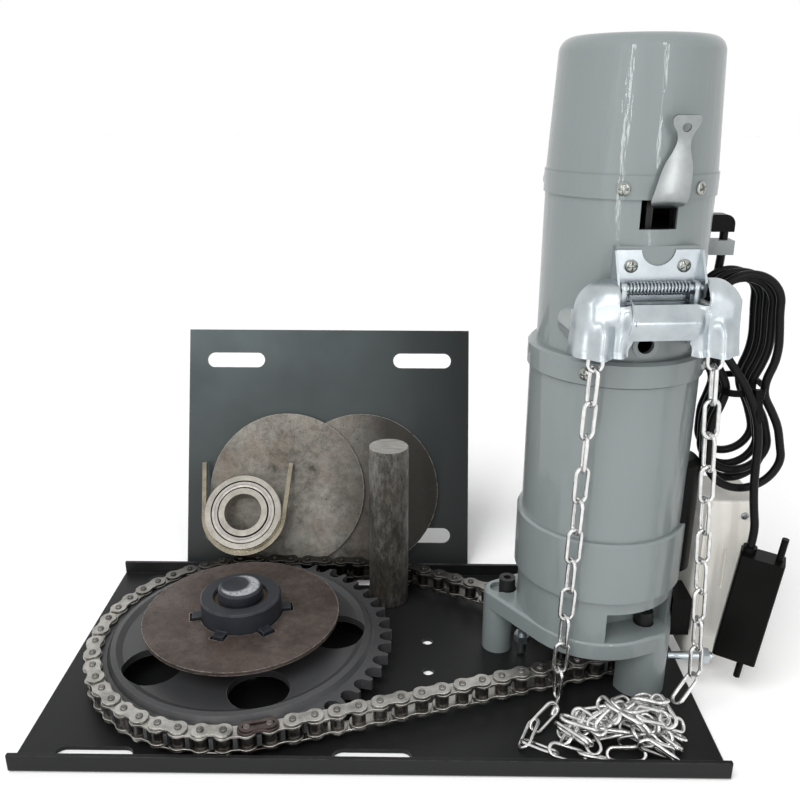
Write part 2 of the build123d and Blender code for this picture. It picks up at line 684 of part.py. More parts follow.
# Chain guide on its sprung hinge
def make_hinge():
    plate = block(-HINGE_HALF, HINGE_HALF, PAD_Y - 1.5, PAD_Y, 313, 345)
    plate -= Pos(0, PAD_Y, 346) * Rot(90, 0, 0) * Cylinder(11, 10)
    ear_outline = Polyline((PAD_Y, 313), (PAD_Y, 345), (PAD_Y - 3, 345), (HINGE_Y - 5, 327),
                           (HINGE_Y - 5, 317), (HINGE_Y, 315), close=True)
    ear = extrude(Plane.YZ * make_face(ear_outline), 1.5)
    plate += Pos(HINGE_HALF, 0, 0) * ear
    plate += Pos(-HINGE_HALF - 1.5, 0, 0) * ear
    pin_bore = Pos(0, HINGE_Y, HINGE_Z) * Rot(0, 90, 0) * Cylinder(HINGE_PIN_R + 0.02, 70)
    save("hinge_bracket", at_hinge(plate - pin_bore))
    pin = Pos(0, HINGE_Y, HINGE_Z) * Rot(0, 90, 0) * Cylinder(HINGE_PIN_R, 2 * HINGE_HALF + 6)
    save("hinge_pin", at_hinge(pin))


def least_gap(wire, width):
    """How near a wound tube comes to itself, measured between points more than six widths apart along it."""
    count = int(wire.length / width * 2)
    sample = [tuple(wire @ (i / count)) for i in range(count + 1)]
    apart = 12
    nearest = min(math.dist(p, q) for i, p in enumerate(sample) for q in sample[i + apart:])
    return nearest - width


def make_guide_spring():
    """A torsion spring: half-turn arcs along the pin."""
    half = SPRING_TURNS * SPRING_PITCH / 2
    edges = []
    for k in range(2 * SPRING_TURNS):
        side = 1 if k % 2 == 0 else -1
        x0 = -half + k * SPRING_PITCH / 2
        start = (x0, HINGE_Y, HINGE_Z - side * SPRING_MEAN_R)
        mid = (x0 + SPRING_PITCH / 4, HINGE_Y - side * SPRING_MEAN_R, HINGE_Z)
        end = (x0 + SPRING_PITCH / 2, HINGE_Y, HINGE_Z + side * SPRING_MEAN_R)
        edges.append(ThreePointArc(start, mid, end))
    wire = Wire(edges)
    section = Plane(origin=wire @ 0, z_dir=wire % 0) * Rectangle(SPRING_WIRE, SPRING_WIRE)
    save("guide_spring", at_hinge(sweep(section, path=wire)))
    print(f"spring least gap {least_gap(wire, SPRING_WIRE):.2f} mm")


def spout_outline(radius):
    """A spout's plan: square at the wall, half round in front."""
    back = PAD_Y - 2.5
    sides = Polyline((radius, SPOUT_Y), (radius, back), (-radius, back), (-radius, SPOUT_Y))
    front = ThreePointArc((-radius, SPOUT_Y), (0, SPOUT_Y - radius), (radius, SPOUT_Y))
    return make_face(sides + front)


def shoulder_outline(half, top, round_r):
    """The guide's upper body from the front: square below, two rounded shoulders above."""
    low = 298
    side = top - round_r
    over = half - round_r
    line = Polyline((-half, side), (-half, low), (half, low), (half, side))
    right = TangentArc((half, side), (over, top), tangent=(0, 1))
    left = TangentArc((-half, side), (-over, top), tangent=(0, 1))
    return make_face(line + right + Line((over, top), (-over, top)) + left)


def make_chain_guide():
    back = PAD_Y - 2.5
    front = SPOUT_Y - 10
    shell = Pos(0, back, 0) * extrude(Plane.XZ * shoulder_outline(GUIDE_HALF, GUIDE_TOP, 20), back - front)
    shell = fillet(shell.edges().group_by(Axis.Y)[0], 5)
    inside = shoulder_outline(GUIDE_HALF - GUIDE_T, GUIDE_TOP - GUIDE_T, 20 - GUIDE_T)
    hollow = Pos(0, back + 1, 0) * extrude(Plane.XZ * inside, back - front + 1 - GUIDE_T)
    for side in (-1, 1):
        shell += Pos(side * SPOUT_X, 0, GUIDE_BOTTOM) * extrude(spout_outline(SPOUT_R), 26)
        hollow += Pos(side * SPOUT_X, 0, GUIDE_BOTTOM - 1) * extrude(spout_outline(SPOUT_R - GUIDE_T), 26)
        bore = SPOUT_R - GUIDE_T
        x = side * SPOUT_X
        hollow += block(x - bore, x + bore, SPOUT_Y, back + 1, GUIDE_BOTTOM - 1, 305)
    guide = shell - hollow
    guide -= block(-HINGE_HALF - 2.5, HINGE_HALF + 2.5, front - 3, back + 2, 311, 330)
    guide -= block(-SPOUT_X + SPOUT_R - 0.5, SPOUT_X - SPOUT_R + 0.5, front - 3, SPOUT_Y + 4, 290, 303)
    guide += block(-SPOUT_X + SPOUT_R - 1, SPOUT_X - SPOUT_R + 1, SPOUT_Y + 2.5, SPOUT_Y + 4, 291, 305)
    guide += block(-SPOUT_X + SPOUT_R - 1, SPOUT_X - SPOUT_R + 1, front + 0.5, SPOUT_Y + 4, 302, 303.5)
    guide += block(-HINGE_HALF + 1, HINGE_HALF - 1, front + 2, front + 3.5, 303, 313)
    guide += block(-HINGE_HALF + 1, HINGE_HALF - 1, front + 2, HINGE_Y + 3, 311.5, 313)
    for side in (-1, 1):
        knuckle = Pos(side * 23.5, HINGE_Y, HINGE_Z) * Rot(0, 90, 0) * Cylinder(5, 4)
        knuckle += block(side * 23.5 - 2, side * 23.5 + 2, HINGE_Y - 5, HINGE_Y + 2, 312, HINGE_Z)
        guide += knuckle
    guide -= Pos(0, HINGE_Y, HINGE_Z) * Rot(0, 90, 0) * Cylinder(HINGE_PIN_R + RUN_GAP, 70)
    save("chain_guide", at_hinge(guide))


# Hand chain and its pocket wheel
def hand_link():
    """One long link about its middle, along Z and flat in the XZ plane, with a square-section wire."""
    half_in = HAND_PITCH / 2 - HAND_WIDTH / 2 + HAND_WIRE

    def loop(radius):
        points = []
        for side in (1, -1):
            for a in (0, 45, 90, 135, 180):
                x, z = polar(radius, a)
                points.append((side * x, side * (half_in + z)))
        return make_face(Polyline(*points, close=True))
    flat = loop(HAND_WIDTH / 2) - loop(HAND_WIDTH / 2 - HAND_WIRE)
    return extrude(Plane.XZ * flat, HAND_WIRE / 2, both=True)


def hand_strand(top, bottom):
    """Links in a straight run between two points, every other one turned a quarter."""
    start, end = Vector(*top), Vector(*bottom)
    count = int((end - start).length / HAND_PITCH)
    way = (end - start).normalized()
    link = hand_link()
    links = []
    for k in range(count):
        middle = start + way * (HAND_PITCH * (k + 0.5))
        frame = Plane(origin=middle, x_dir=(1, 0.2, 0) if k % 2 == 0 else (-0.2, 1, 0), z_dir=way)
        links.append(frame * link)
    return links


def front_point(x, y, z):
    """A point of the motor's front, in the shared frame."""
    a = math.radians(FRONT_TURN)
    return (MOTOR_X + x * math.cos(a) - y * math.sin(a), MOTOR_Y + x * math.sin(a) + y * math.cos(a), z)


def make_hand_chain():
    left_top = front_point(HINGE_X - SPOUT_X, SPOUT_Y, GUIDE_BOTTOM + 14)
    right_top = front_point(HINGE_X + SPOUT_X, SPOUT_Y, GUIDE_BOTTOM + 14)
    save("hand_chain_left", *hand_strand(left_top, LEFT_STRAND_FOOT))
    right = hand_strand(right_top, RIGHT_STRAND_FOOT) + hand_strand(RIGHT_STRAND_FOOT, RIGHT_STRAND_END)
    save("hand_chain_right", *right)
    link = hand_link()
    heap = []
    rows = ((-108, 4.6, 9, 108), (-94, 4.6, 9, 106), (-80, 4.6, 6, 140), (-101, 11.4, 7, 122),
            (-87, 11.4, 6, 132), (-96, 18.2, 5, 140), (-91, 25.0, 3, 156))
    for y, z, count, x0 in rows:
        for k in range(count):
            turn = (k * 67 + int(-y) * 29) % 120 - 60
            place = Pos(x0 + 15 * k, y + 3 * math.sin(2.1 * k), z) * Rot(0, 0, 90 + turn) * Rot(90, 0, 0)
            heap.append(place * link)
    save("hand_chain_pile", *heap)
    bore, rim, groove = SHAFT_R + 0.4, HAND_WHEEL_R + 6, HAND_WHEEL_R - 6
    wheel = turned([(bore, 282), (rim, 282), (rim, 286), (groove, 291), (groove, 297), (rim, 302),
                    (rim, 306), (bore, 306)])
    for k in range(9):
        wheel -= Rot(0, 0, 40 * k) * block(HAND_WHEEL_R - 9, HAND_WHEEL_R + 8, -3, 3, 288, 300)
    save("hand_chain_wheel", at_motor(wheel))


# Limit unit, capacitor and cable on the right of the motor
def make_limit_unit():
    box = block(246, 288, -14, 34, 20, 152)
    box = fillet(box.edges().filter_by(Axis.Z), 8)
    box = fillet(box.edges().group_by(Axis.Z)[-1], 2.5)
    box -= block(266, 268.4, -16, -12.8, 78, 112)
    save("limit_switch_box", box)
    foot = block(247, 287, -13, 33, 14, 20)
    save("limit_box_base", fillet(foot.edges().filter_by(Axis.Z), 7))
    arm = block(MOTOR_X + 40, 246, -18, 10, 38, 70)
    arm -= at_motor(upright(FLANGE_R + 0.4, 30, 80) + upright(FOOT_RADII[1] + 0.4, 30, 80, *FRONT_FOOT))
    save("limit_bracket", arm)
    stud = Rot(0, 90, 0) * Cylinder(3, 34)
    nut = Rot(0, 90, 0) * extrude(RegularPolygon(6.5, 6), 5)
    limit_stud = Pos(MOTOR_X + 70, MOTOR_Y - 34, 30) * stud + Pos(MOTOR_X + 79, MOTOR_Y - 34, 30) * nut
    foot_stud = upright(3.5, 5, FLANGE_Z0 - 0.1, MOTOR_X - 53, MOTOR_Y + 4)
    foot_nut = Pos(MOTOR_X - 53, MOTOR_Y + 4, 16) * extrude(RegularPolygon(7, 6), 6)
    save("casting_studs", limit_stud, foot_stud + foot_nut)
    cover = upright(17, BARREL_Z0 + 2, COVER_TOP, 52, 0)
    cover = chamfer(cover.edges().filter_by(GeomType.CIRCLE), 4)
    cover -= upright(MOTOR_R + 0.1, BARREL_Z1, COVER_TOP + 4)
    cover -= upright(BARREL_R + 0.1, BARREL_Z0 - 5, BARREL_Z1)
    save("capacitor_cover", at_motor(Rot(0, 0, COVER_TURN) * cover))


def biarc(p0, tangent, p1):
    """Two arcs that leave p0 along a tangent and reach p1 along the same tangent."""
    mid = tuple((a + b) / 2 for a, b in zip(p0, p1))
    first = TangentArc(p0, mid, tangent=tangent)
    return [first, TangentArc(mid, p1, tangent=first % 1)]


def hank_centre(z):
    """The hank leans out a little on its way down."""
    return HANK_X + (HANK_TOP - z) / 8


def hank_loop(k):
    """One loop's six places as (x, z), from its top left down, round and up: the last loop stands out."""
    bulge = HANK_BULGE if k == HANK_LOOPS - 1 else 0.0
    half = HANK_HALF + 0.8 * k
    top = HANK_TOP - 3.0 * (k % 2)
    low = HANK_LOW - 3.5 * (2 * k % HANK_LOOPS)
    waist = hank_centre(HANK_WAIST)
    return [
        (hank_centre(HANK_TOP) - HANK_HALF, top),
        (waist - HANK_WAIST_HALF, HANK_WAIST),
        (hank_centre(low) - half, low),
        (hank_centre(low) + half + bulge, low),
        (waist + HANK_WAIST_HALF + bulge, HANK_WAIST),
        (hank_centre(HANK_TOP) + HANK_HALF + 1.2 * k, top),
    ]


def make_cable_hank():
    """The spare cable in loops drawn in at the waist, one unbroken tube on to the receiver's lead."""
    down, up = (0, 0, -1), (0, 0, 1)
    edges = []
    here = HANK_START
    for k in range(HANK_LOOPS):
        y = HANK_Y - k * HANK_STEP
        climb = (0, 0, 0, 0, HANK_STEP / 4, HANK_STEP / 2)
        places = [(x, y - dy, z) for (x, z), dy in zip(hank_loop(k), climb)]
        _, waist_in, low_in, low_out, waist_out, top_out = places
        top_next = (hank_loop(k + 1)[0][0], top_out[1], top_out[2])
        edges += biarc(here, down, waist_in) + biarc(waist_in, down, low_in)
        edges.append(TangentArc(low_in, low_out, tangent=down))
        edges += biarc(low_out, up, waist_out) + biarc(waist_out, up, top_out)
        edges.append(TangentArc(top_out, top_next, tangent=up))
        here = top_next
    edges += biarc(here, down, HANK_TAIL) + biarc(HANK_TAIL, down, HANK_END)
    wire = Wire(edges)
    section = Plane(origin=HANK_START, z_dir=down) * RegularPolygon(CABLE_D / 2, 6)
    hank = sweep(section, path=wire, clean=False)
    save("cable_hank", hank)
    by_section = section.area * wire.length
    print(f"hank length {wire.length:.0f}, volume {hank.volume:.0f}, by section {by_section:.0f}")
    print(f"hank least gap {least_gap(wire, CABLE_D):.2f} mm")


def cord_radii(route):
    """The largest arc that each corner's two runs allow."""
    runs = [math.dist(route[i], route[i + 1]) for i in range(len(route) - 1)]
    radii = []
    for i in range(1, len(route) - 1):
        before = Vector(*route[i]) - Vector(*route[i - 1])
        after = Vector(*route[i + 1]) - Vector(*route[i])
        turn = math.radians(before.get_angle(after))
        radii.append(0.45 * min(runs[i - 1], runs[i]) / math.tan(turn / 2))
    return radii


def make_leads():
    x, y, z = HANK_START
    gland = block(MOTOR_X + 50, x + 5, y - 6, y + 6, 346, 358)
    gland = fillet(gland.edges().filter_by(Axis.Y).group_by(Axis.X)[-1].group_by(Axis.Z)[-1], 7)
    save("cable_gland", gland - at_motor(upright(UPPER_R + 0.05, 300, 380)))
    save("power_lead", upright(CABLE_D / 2, z, 346, x, y))
    clip = block(MOTOR_X + 40, x + 6, y - 7, y + 7, 330, 340) - upright(CABLE_D / 2 + 0.1, 320, 350, x, y)
    save("cable_clip", clip - at_motor(upright(UPPER_R + 0.05, 300, 380)))

    middle = (RECEIVER_Z0 + RECEIVER_Z1) / 2
    tilt = Pos(0, 0, middle) * Rot(0, RECEIVER_TILT, 0) * Pos(0, 0, -middle)
    place = Pos(RECEIVER_X, RECEIVER_Y, 0) * Rot(0, 0, RECEIVER_TURN) * tilt
    inlet_z = RECEIVER_Z1 + 5
    inlet = (place * Pos(INLET_X, 0, inlet_z)).position
    above = (place * Pos(INLET_X, 0, inlet_z + 13)).position
    print("receiver inlet", [round(c, 2) for c in (*inlet, *above)])
    route = [HANK_END, (273, -30, 188), (273.8, -30.9, 168), (275.7, -32.7, 153), tuple(above), tuple(inlet)]
    radii = cord_radii(route)
    print("receiver lead radii", [round(r, 1) for r in radii])
    path = FilletPolyline(*route, radius=radii)
    section = Plane(origin=route[0], z_dir=path % 0) * RegularPolygon(CABLE_D / 2, 6)
    lead = sweep(section, path=path, clean=False)
    by_section = section.area * path.length
    print(f"lead length {path.length:.0f}, volume {lead.volume:.0f}, by section {by_section:.0f}")
    save("receiver_lead", lead)

    case = block(-RECEIVER_HALF, RECEIVER_HALF, -9, 9, RECEIVER_Z0, RECEIVER_Z1)
    case = fillet(case.edges().filter_by(Axis.Z), 2)
    save("receiver_box", place * (case + upright(5, RECEIVER_Z1, inlet_z, INLET_X, 0)))
    save("receiver_stubs", place * upright(2.5, RECEIVER_Z0 - 18, RECEIVER_Z0, 6, 0),
         place * upright(2.5, RECEIVER_Z1, RECEIVER_Z1 + 18, 11, 0))


# Loose kit leaning on the end plate
def make_end_kit():
    plate = Pos(END_X, END_H / 2, -SHEET_T / 2) * Box(END_W, END_H, SHEET_T)
    for sx in (-1, 1):
        for v in (END_SLOT_EDGE, END_H - END_SLOT_EDGE):
            slot = extrude(SlotOverall(END_SLOT_L, END_SLOT_W), SHEET_T * 2)
            plate -= Pos(END_X + sx * END_SLOT_X, v, -SHEET_T * 1.5) * slot
    floor_drop = SHEET_T * math.tan(math.radians(LEAN))
    save("end_plate", leaning(Pos(0, floor_drop, 0) * plate))
    disc = Cylinder(BLANK_R, BLANK_T, align=(Align.CENTER, Align.CENTER, Align.MIN))
    places = ((-20, BLANK_R + 0.2, 0.02), (-92, BLANK_R + 0.2, BLANK_T + 0.04))
    save("weld_discs", *[leaning(Pos(*at) * disc) for at in places])


def make_spare_bearing():
    """A shielded ball bearing in its U clip, its foot on the slack chain and its top on the front disc."""
    lean = math.radians(BEARING_LEAN)
    chain_top = CHAIN_Z + INNER_WIDTH / 2 + 2 * LINK_T + PIN_HEAD + 2 * LINK_GAP
    seat = Plane(origin=(BEARING_X, BEARING_FOOT_Y, chain_top + 0.1), x_dir=(1, 0, 0),
                 z_dir=(0, -math.cos(lean), math.sin(lean))) * Pos(0, BEARING_R, 0)
    outer = turned([(30.5, 0), (BEARING_R - 0.6, 0), (BEARING_R, 0.6), (BEARING_R, BEARING_W - 0.6),
                    (BEARING_R - 0.6, BEARING_W), (30.5, BEARING_W)])
    inner = turned([(BEARING_BORE, 0), (23, 0), (23, BEARING_W), (BEARING_BORE, BEARING_W)])
    save("bearing_outer_ring", seat * outer)
    save("bearing_inner_ring", seat * inner)
    save("bearing_shields", *[seat * tube(30.5, 23.0, z, z + 1) for z in (1, BEARING_W - 2)])
    r_mid = BEARING_R + CLIP_WIRE / 2 + 0.15
    splay = 4
    leg = 50
    bow = ThreePointArc((-r_mid, 0), (0, -r_mid), (r_mid, 0))
    left = Line((-r_mid - splay, leg), (-r_mid, 0))
    right = Line((r_mid, 0), (r_mid + splay, leg))
    clip = extrude(trace(left + bow + right, CLIP_WIRE), CLIP_WIRE)
    save("bearing_clip", seat * Pos(0, 0, (BEARING_W - CLIP_WIRE) / 2) * clip)


def make_stub():
    stub = upright(STUB_R, SHEET_T, STUB_TOP, STUB_X, STUB_Y)
    save("shaft_stub", chamfer(stub.edges().filter_by(GeomType.CIRCLE), 0.8))


make_base_plate()
make_axle()
make_driven_wheel()
make_chain()
make_gear_casting()
make_output()
make_gears()
make_motor()
make_upper_housing()
make_screws()
make_brake()
make_hinge()
make_guide_spring()
make_chain_guide()
make_hand_chain()
make_limit_unit()
make_cable_hank()
make_leads()
make_end_kit()
make_spare_bearing()
make_stub()
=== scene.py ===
import json
import math
import random

import bpy
from mathutils import Matrix, Vector

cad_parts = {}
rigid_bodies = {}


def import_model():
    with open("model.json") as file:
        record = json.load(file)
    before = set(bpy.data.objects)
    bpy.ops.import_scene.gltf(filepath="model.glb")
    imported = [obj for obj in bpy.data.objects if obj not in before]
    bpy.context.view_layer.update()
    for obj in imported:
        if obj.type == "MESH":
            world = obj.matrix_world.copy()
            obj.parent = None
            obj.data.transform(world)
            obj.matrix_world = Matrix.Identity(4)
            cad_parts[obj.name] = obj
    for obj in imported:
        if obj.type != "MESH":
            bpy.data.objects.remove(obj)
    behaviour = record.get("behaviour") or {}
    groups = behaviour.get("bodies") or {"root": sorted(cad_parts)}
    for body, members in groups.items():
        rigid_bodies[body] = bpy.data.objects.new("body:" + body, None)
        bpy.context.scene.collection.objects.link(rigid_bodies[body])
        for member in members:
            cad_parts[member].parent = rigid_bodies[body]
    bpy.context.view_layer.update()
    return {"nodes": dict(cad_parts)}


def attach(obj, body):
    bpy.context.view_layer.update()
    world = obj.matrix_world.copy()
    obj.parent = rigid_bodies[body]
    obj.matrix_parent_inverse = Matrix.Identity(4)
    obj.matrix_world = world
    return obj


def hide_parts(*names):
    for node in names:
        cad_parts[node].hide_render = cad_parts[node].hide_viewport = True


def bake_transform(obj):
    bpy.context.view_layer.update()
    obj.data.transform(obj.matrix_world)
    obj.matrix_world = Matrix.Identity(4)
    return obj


for old in list(bpy.data.objects):
    bpy.data.objects.remove(old)
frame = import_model()
NODES = frame["nodes"]
MM = 0.001
SCENE = bpy.context.scene

# Camera of the photograph, in millimetres and degrees
CAM_POS = (25.85, -584.67, 430.42)
CAM_PITCH = 19.340
CAM_YAW = -0.612
CAM_ROLL = 0.174
CAM_FOCAL_PX = 845.2
FRAME_PX = 800
SENSOR_MM = 36.0
CAM_CLIP_M = (0.01, 50)

# Shared sizes of the part, in millimetres
AXLE = (-107.5, 1.0)
MOTOR = (173.0913, 1.0)
FRONT_TURN = 5.0
HINGE_X = 3.0
CHAIN_PITCH = 15.875
CHAIN_COUNT = 66
CHAIN_Z = 17.0
STUB = (9.0, 86.0)
STUB_PATH_R = 26.4
DRIVEN_TEETH = 46
DRIVE_TEETH = 11


def new_object(name, data):
    """An object in the scene for a mesh, curve, camera or lamp."""
    made = bpy.data.objects.new(name, data)
    SCENE.collection.objects.link(made)
    return made


def make_camera():
    pitch, yaw, roll = (math.radians(a) for a in (CAM_PITCH, CAM_YAW, CAM_ROLL))
    forward = Vector((math.sin(yaw) * math.cos(pitch), math.cos(yaw) * math.cos(pitch), -math.sin(pitch)))
    right = Vector((math.cos(yaw), -math.sin(yaw), 0))
    up = right.cross(forward)
    x_axis = math.cos(roll) * right + math.sin(roll) * up
    y_axis = -math.sin(roll) * right + math.cos(roll) * up
    data = bpy.data.cameras.new("camera")
    data.sensor_fit = "HORIZONTAL"
    data.sensor_width = SENSOR_MM
    data.lens = CAM_FOCAL_PX * SENSOR_MM / FRAME_PX
    data.clip_start, data.clip_end = CAM_CLIP_M
    camera = new_object("camera", data)
    turn = Matrix((x_axis, y_axis, -forward)).transposed()
    camera.matrix_world = Matrix.Translation(Vector(CAM_POS) * MM) @ turn.to_4x4()
    SCENE.camera = camera


# Materials, with lengths in metres
WHITE = (1, 1, 1)
EDGE_RADIUS = 0.0012


class Nodes:
    """A node tree whose nodes are made with their settings, values and links in one call."""

    def __init__(self, tree):
        self.tree = tree
        tree.nodes.clear()

    def feed(self, socket, value):
        """Link a socket to another's output, or set its own value."""
        if isinstance(value, bpy.types.NodeSocket):
            self.tree.links.new(value, socket)
        elif socket.type == "RGBA":
            socket.default_value = (*value, 1)
        else:
            socket.default_value = value

    def add(self, kind, inputs=None, **settings):
        node = self.tree.nodes.new("ShaderNode" + kind)
        for name, value in settings.items():
            setattr(node, name, value)
        for key, value in (inputs or {}).items():
            self.feed(node.inputs[key], value)
        return node

    def maths(self, kind, a, b):
        return self.add("Math", {0: a, 1: b}, operation=kind).outputs[0]

    def times(self, a, b):
        return self.maths("MULTIPLY", a, b)

    def seen_rays(self):
        """One for rays that the camera sees, straight or by way of metal or glass."""
        rays = self.add("LightPath").outputs
        mirrored = self.maths("MAXIMUM", rays["Is Glossy Ray"], rays["Is Transmission Ray"])
        return self.maths("MAXIMUM", rays["Is Camera Ray"], mirrored)


class Shader(Nodes):
    """A principled material whose colour, roughness and bump come from procedural textures."""

    def __init__(self, name, rough=0.5, metallic=0.0, coat=0.0, coat_rough=0.1, specular=0.5):
        self.material = bpy.data.materials.new(name)
        self.material.use_nodes = True
        super().__init__(self.material.node_tree)
        self.bsdf = self.add("BsdfPrincipled", {
            "Metallic": metallic, "Roughness": rough, "Coat Weight": coat, "Coat Roughness": coat_rough,
            "Specular IOR Level": specular})
        self.add("OutputMaterial", {"Surface": self.bsdf.outputs[0]})
        self.place = self.add("TexCoord").outputs["Object"]

    def mapped(self, stretch=(1, 1, 1), shift=(0, 0, 0)):
        """Object coordinates, shifted and stretched."""
        return self.add("Mapping", {"Vector": self.place, "Location": shift, "Scale": stretch}).outputs[0]

    def noise(self, scale, detail=4.0, rough=0.55, where=None):
        inputs = {"Vector": where or self.place, "Scale": scale, "Detail": detail, "Roughness": rough}
        return self.add("TexNoise", inputs).outputs["Fac"]

    def ramp(self, fac, stops):
        """A colour ramp over (position, colour) stops."""
        node = self.add("ValToRGB", {0: fac})
        marks = node.color_ramp.elements
        while len(marks) < len(stops):
            marks.new(0.5)
        for mark, (at, colour) in zip(marks, stops):
            mark.position = at
            mark.color = (*colour, 1)
        return node.outputs[0]

    def mask(self, fac, low, high):
        """Zero below low, one above high."""
        return self.add("MapRange", {"Value": fac, "From Min": low, "From Max": high}).outputs[0]

    def mix(self, fac, a, b):
        return self.add("Mix", {"Factor": fac, 6: a, 7: b}, data_type="RGBA").outputs[2]

    def normal(self):
        return self.add("NewGeometry").outputs["Normal"]

    def edges(self):
        """One close to a sharp edge, whatever the mesh: a rounded normal leaves the true one there."""
        bevel = self.add("Bevel", {"Radius": EDGE_RADIUS}, samples=4)
        same = self.add("VectorMath", {0: bevel.outputs[0], 1: self.normal()}, operation="DOT_PRODUCT")
        return self.mask(same.outputs["Value"], 0.985, 0.86)

    def rubbed(self):
        """One in patches along sharp edges."""
        return self.times(self.edges(), self.mask(self.noise(160, 6), 0.36, 0.62))

    def axis(self, name, of=None):
        """One part of a vector, or of the object coordinates."""
        return self.add("SeparateXYZ", {0: of or self.place}).outputs[name]

    def upward(self):
        """One on faces that look up."""
        return self.mask(self.axis("Z", self.normal()), 0.85, 0.97)

    def within(self, centre, radius, soft):
        """One inside an upright cylinder about a point of the floor plan."""
        far = self.add("VectorMath", {0: self.mapped((1, 1, 0)), 1: (*centre, 0)}, operation="DISTANCE")
        return self.mask(far.outputs["Value"], radius + soft, radius - soft)

    def shade(self, name, value):
        """Feed one of the shader's own inputs."""
        self.feed(self.bsdf.inputs[name], value)
        return self

    def colour(self, socket):
        return self.shade("Base Color", socket)

    def roughness(self, fac, low, high):
        node = self.add("MapRange", {"Value": fac, "To Min": low, "To Max": high})
        return self.shade("Roughness", node.outputs[0])

    def bump(self, fac, strength, distance=0.0005):
        node = self.add("Bump", {"Height": fac, "Strength": strength, "Distance": distance})
        return self.shade("Normal", node.outputs[0])


def painted(name, dark, light, rough, peel=0.08, wear=None, scale=9, specular=0.5):
    """Sprayed paint with slow changes of tone and orange peel, rubbed and scuffed if it has a wear colour."""
    s = Shader(name, rough=rough, specular=specular)
    base = s.ramp(s.noise(scale, 3), [(0.3, dark), (0.7, light)])
    if wear:
        base = s.mix(s.rubbed(), base, wear)
        scuffs = s.mask(s.noise(60, 9, 0.75, s.mapped((1, 4, 4))), 0.70, 0.78)
        base = s.mix(s.times(scuffs, 0.5), base, wear)
    s.colour(base).roughness(s.noise(7, 3), rough * 0.9, rough * 1.12)
    return s.bump(s.noise(420, 2), peel).material


def end_plate_paint():
    """Satin charcoal, with a painted sheen of greener grey on its left and upper part."""
    s = Shader("end_plate_paint", rough=0.36, specular=0.26)
    base = s.ramp(s.noise(6, 3), [(0.3, (0.010, 0.012, 0.012)), (0.7, (0.017, 0.020, 0.020))])
    # Painted sheen: a lighter, greener grey on the left and high up, where the plate would reflect the light.
    painted_sheen = s.times(s.mask(s.axis("X"), 0.075, -0.12), s.mask(s.axis("Z"), 0.02, 0.21))
    cloud = s.mask(s.noise(5, 4, 0.6), 0.28, 0.7)
    base = s.mix(s.times(painted_sheen, s.maths("ADD", cloud, 0.25)), base, (0.088, 0.110, 0.113))
    s.colour(s.mix(s.rubbed(), base, (0.13, 0.135, 0.135))).roughness(s.noise(7, 3), 0.32, 0.42)
    return s.bump(s.noise(420, 2), 0.05).material


def gloss_paint(name, dark, light):
    """Enamel under a clear gloss whose runs and orange peel waver the reflections."""
    s = Shader(name, rough=0.42, coat=0.6, coat_rough=0.06)
    s.colour(s.ramp(s.noise(4, 3), [(0.3, dark), (0.7, light)])).roughness(s.noise(9, 3), 0.36, 0.48)
    runs = s.noise(125, 3, 0.55, s.mapped((1, 1, 0.13)))
    waver = s.maths("ADD", runs, s.times(s.noise(420, 2), 0.08))
    s.bump(waver, 0.36, 0.001)
    return s.shade("Coat Normal", s.bsdf.inputs["Normal"].links[0].from_socket).material


def plated(name, dark, light, rough, scale=60, stretch=(1, 1, 1), grain=0.05, grime_and_shade=False):
    """Bare or plated metal with a cloudy tone; if asked, old oil in black patches and painted shade at the
    back.
    """
    s = Shader(name, metallic=1.0, rough=rough)
    where = s.mapped(stretch)
    look = s.ramp(s.noise(scale, 7, 0.6, where), [(0.3, dark), (0.72, light)])
    if grime_and_shade:
        # Painted shade, partly old oil: darker towards the back (+Y), where the far run of chain lies in
        # shadow.
        far = s.times(s.mask(s.axis("Y"), 0.035, 0.105), 0.88)
        grime = s.times(s.mask(s.noise(48, 6, 0.65), 0.54, 0.70), 0.55)
        look = s.mix(s.maths("MAXIMUM", far, grime), look, (0.030, 0.027, 0.024))
    s.colour(look).roughness(s.noise(scale * 2, 5, 0.6, where), rough * 0.75, rough * 1.3)
    return s.bump(s.noise(1400, 3, 0.6, where), grain, 0.0002).material


def moulded(name, dark, light, rough, grain=0.1, specular=0.5):
    """Moulded plastic: even colour, a fine spark-eroded grain."""
    s = Shader(name, rough=rough, specular=specular)
    s.colour(s.ramp(s.noise(35, 4), [(0.3, dark), (0.7, light)]))
    s.roughness(s.noise(200, 4), rough * 0.9, rough * 1.12)
    return s.bump(s.noise(1800, 2), grain, 0.0002).material


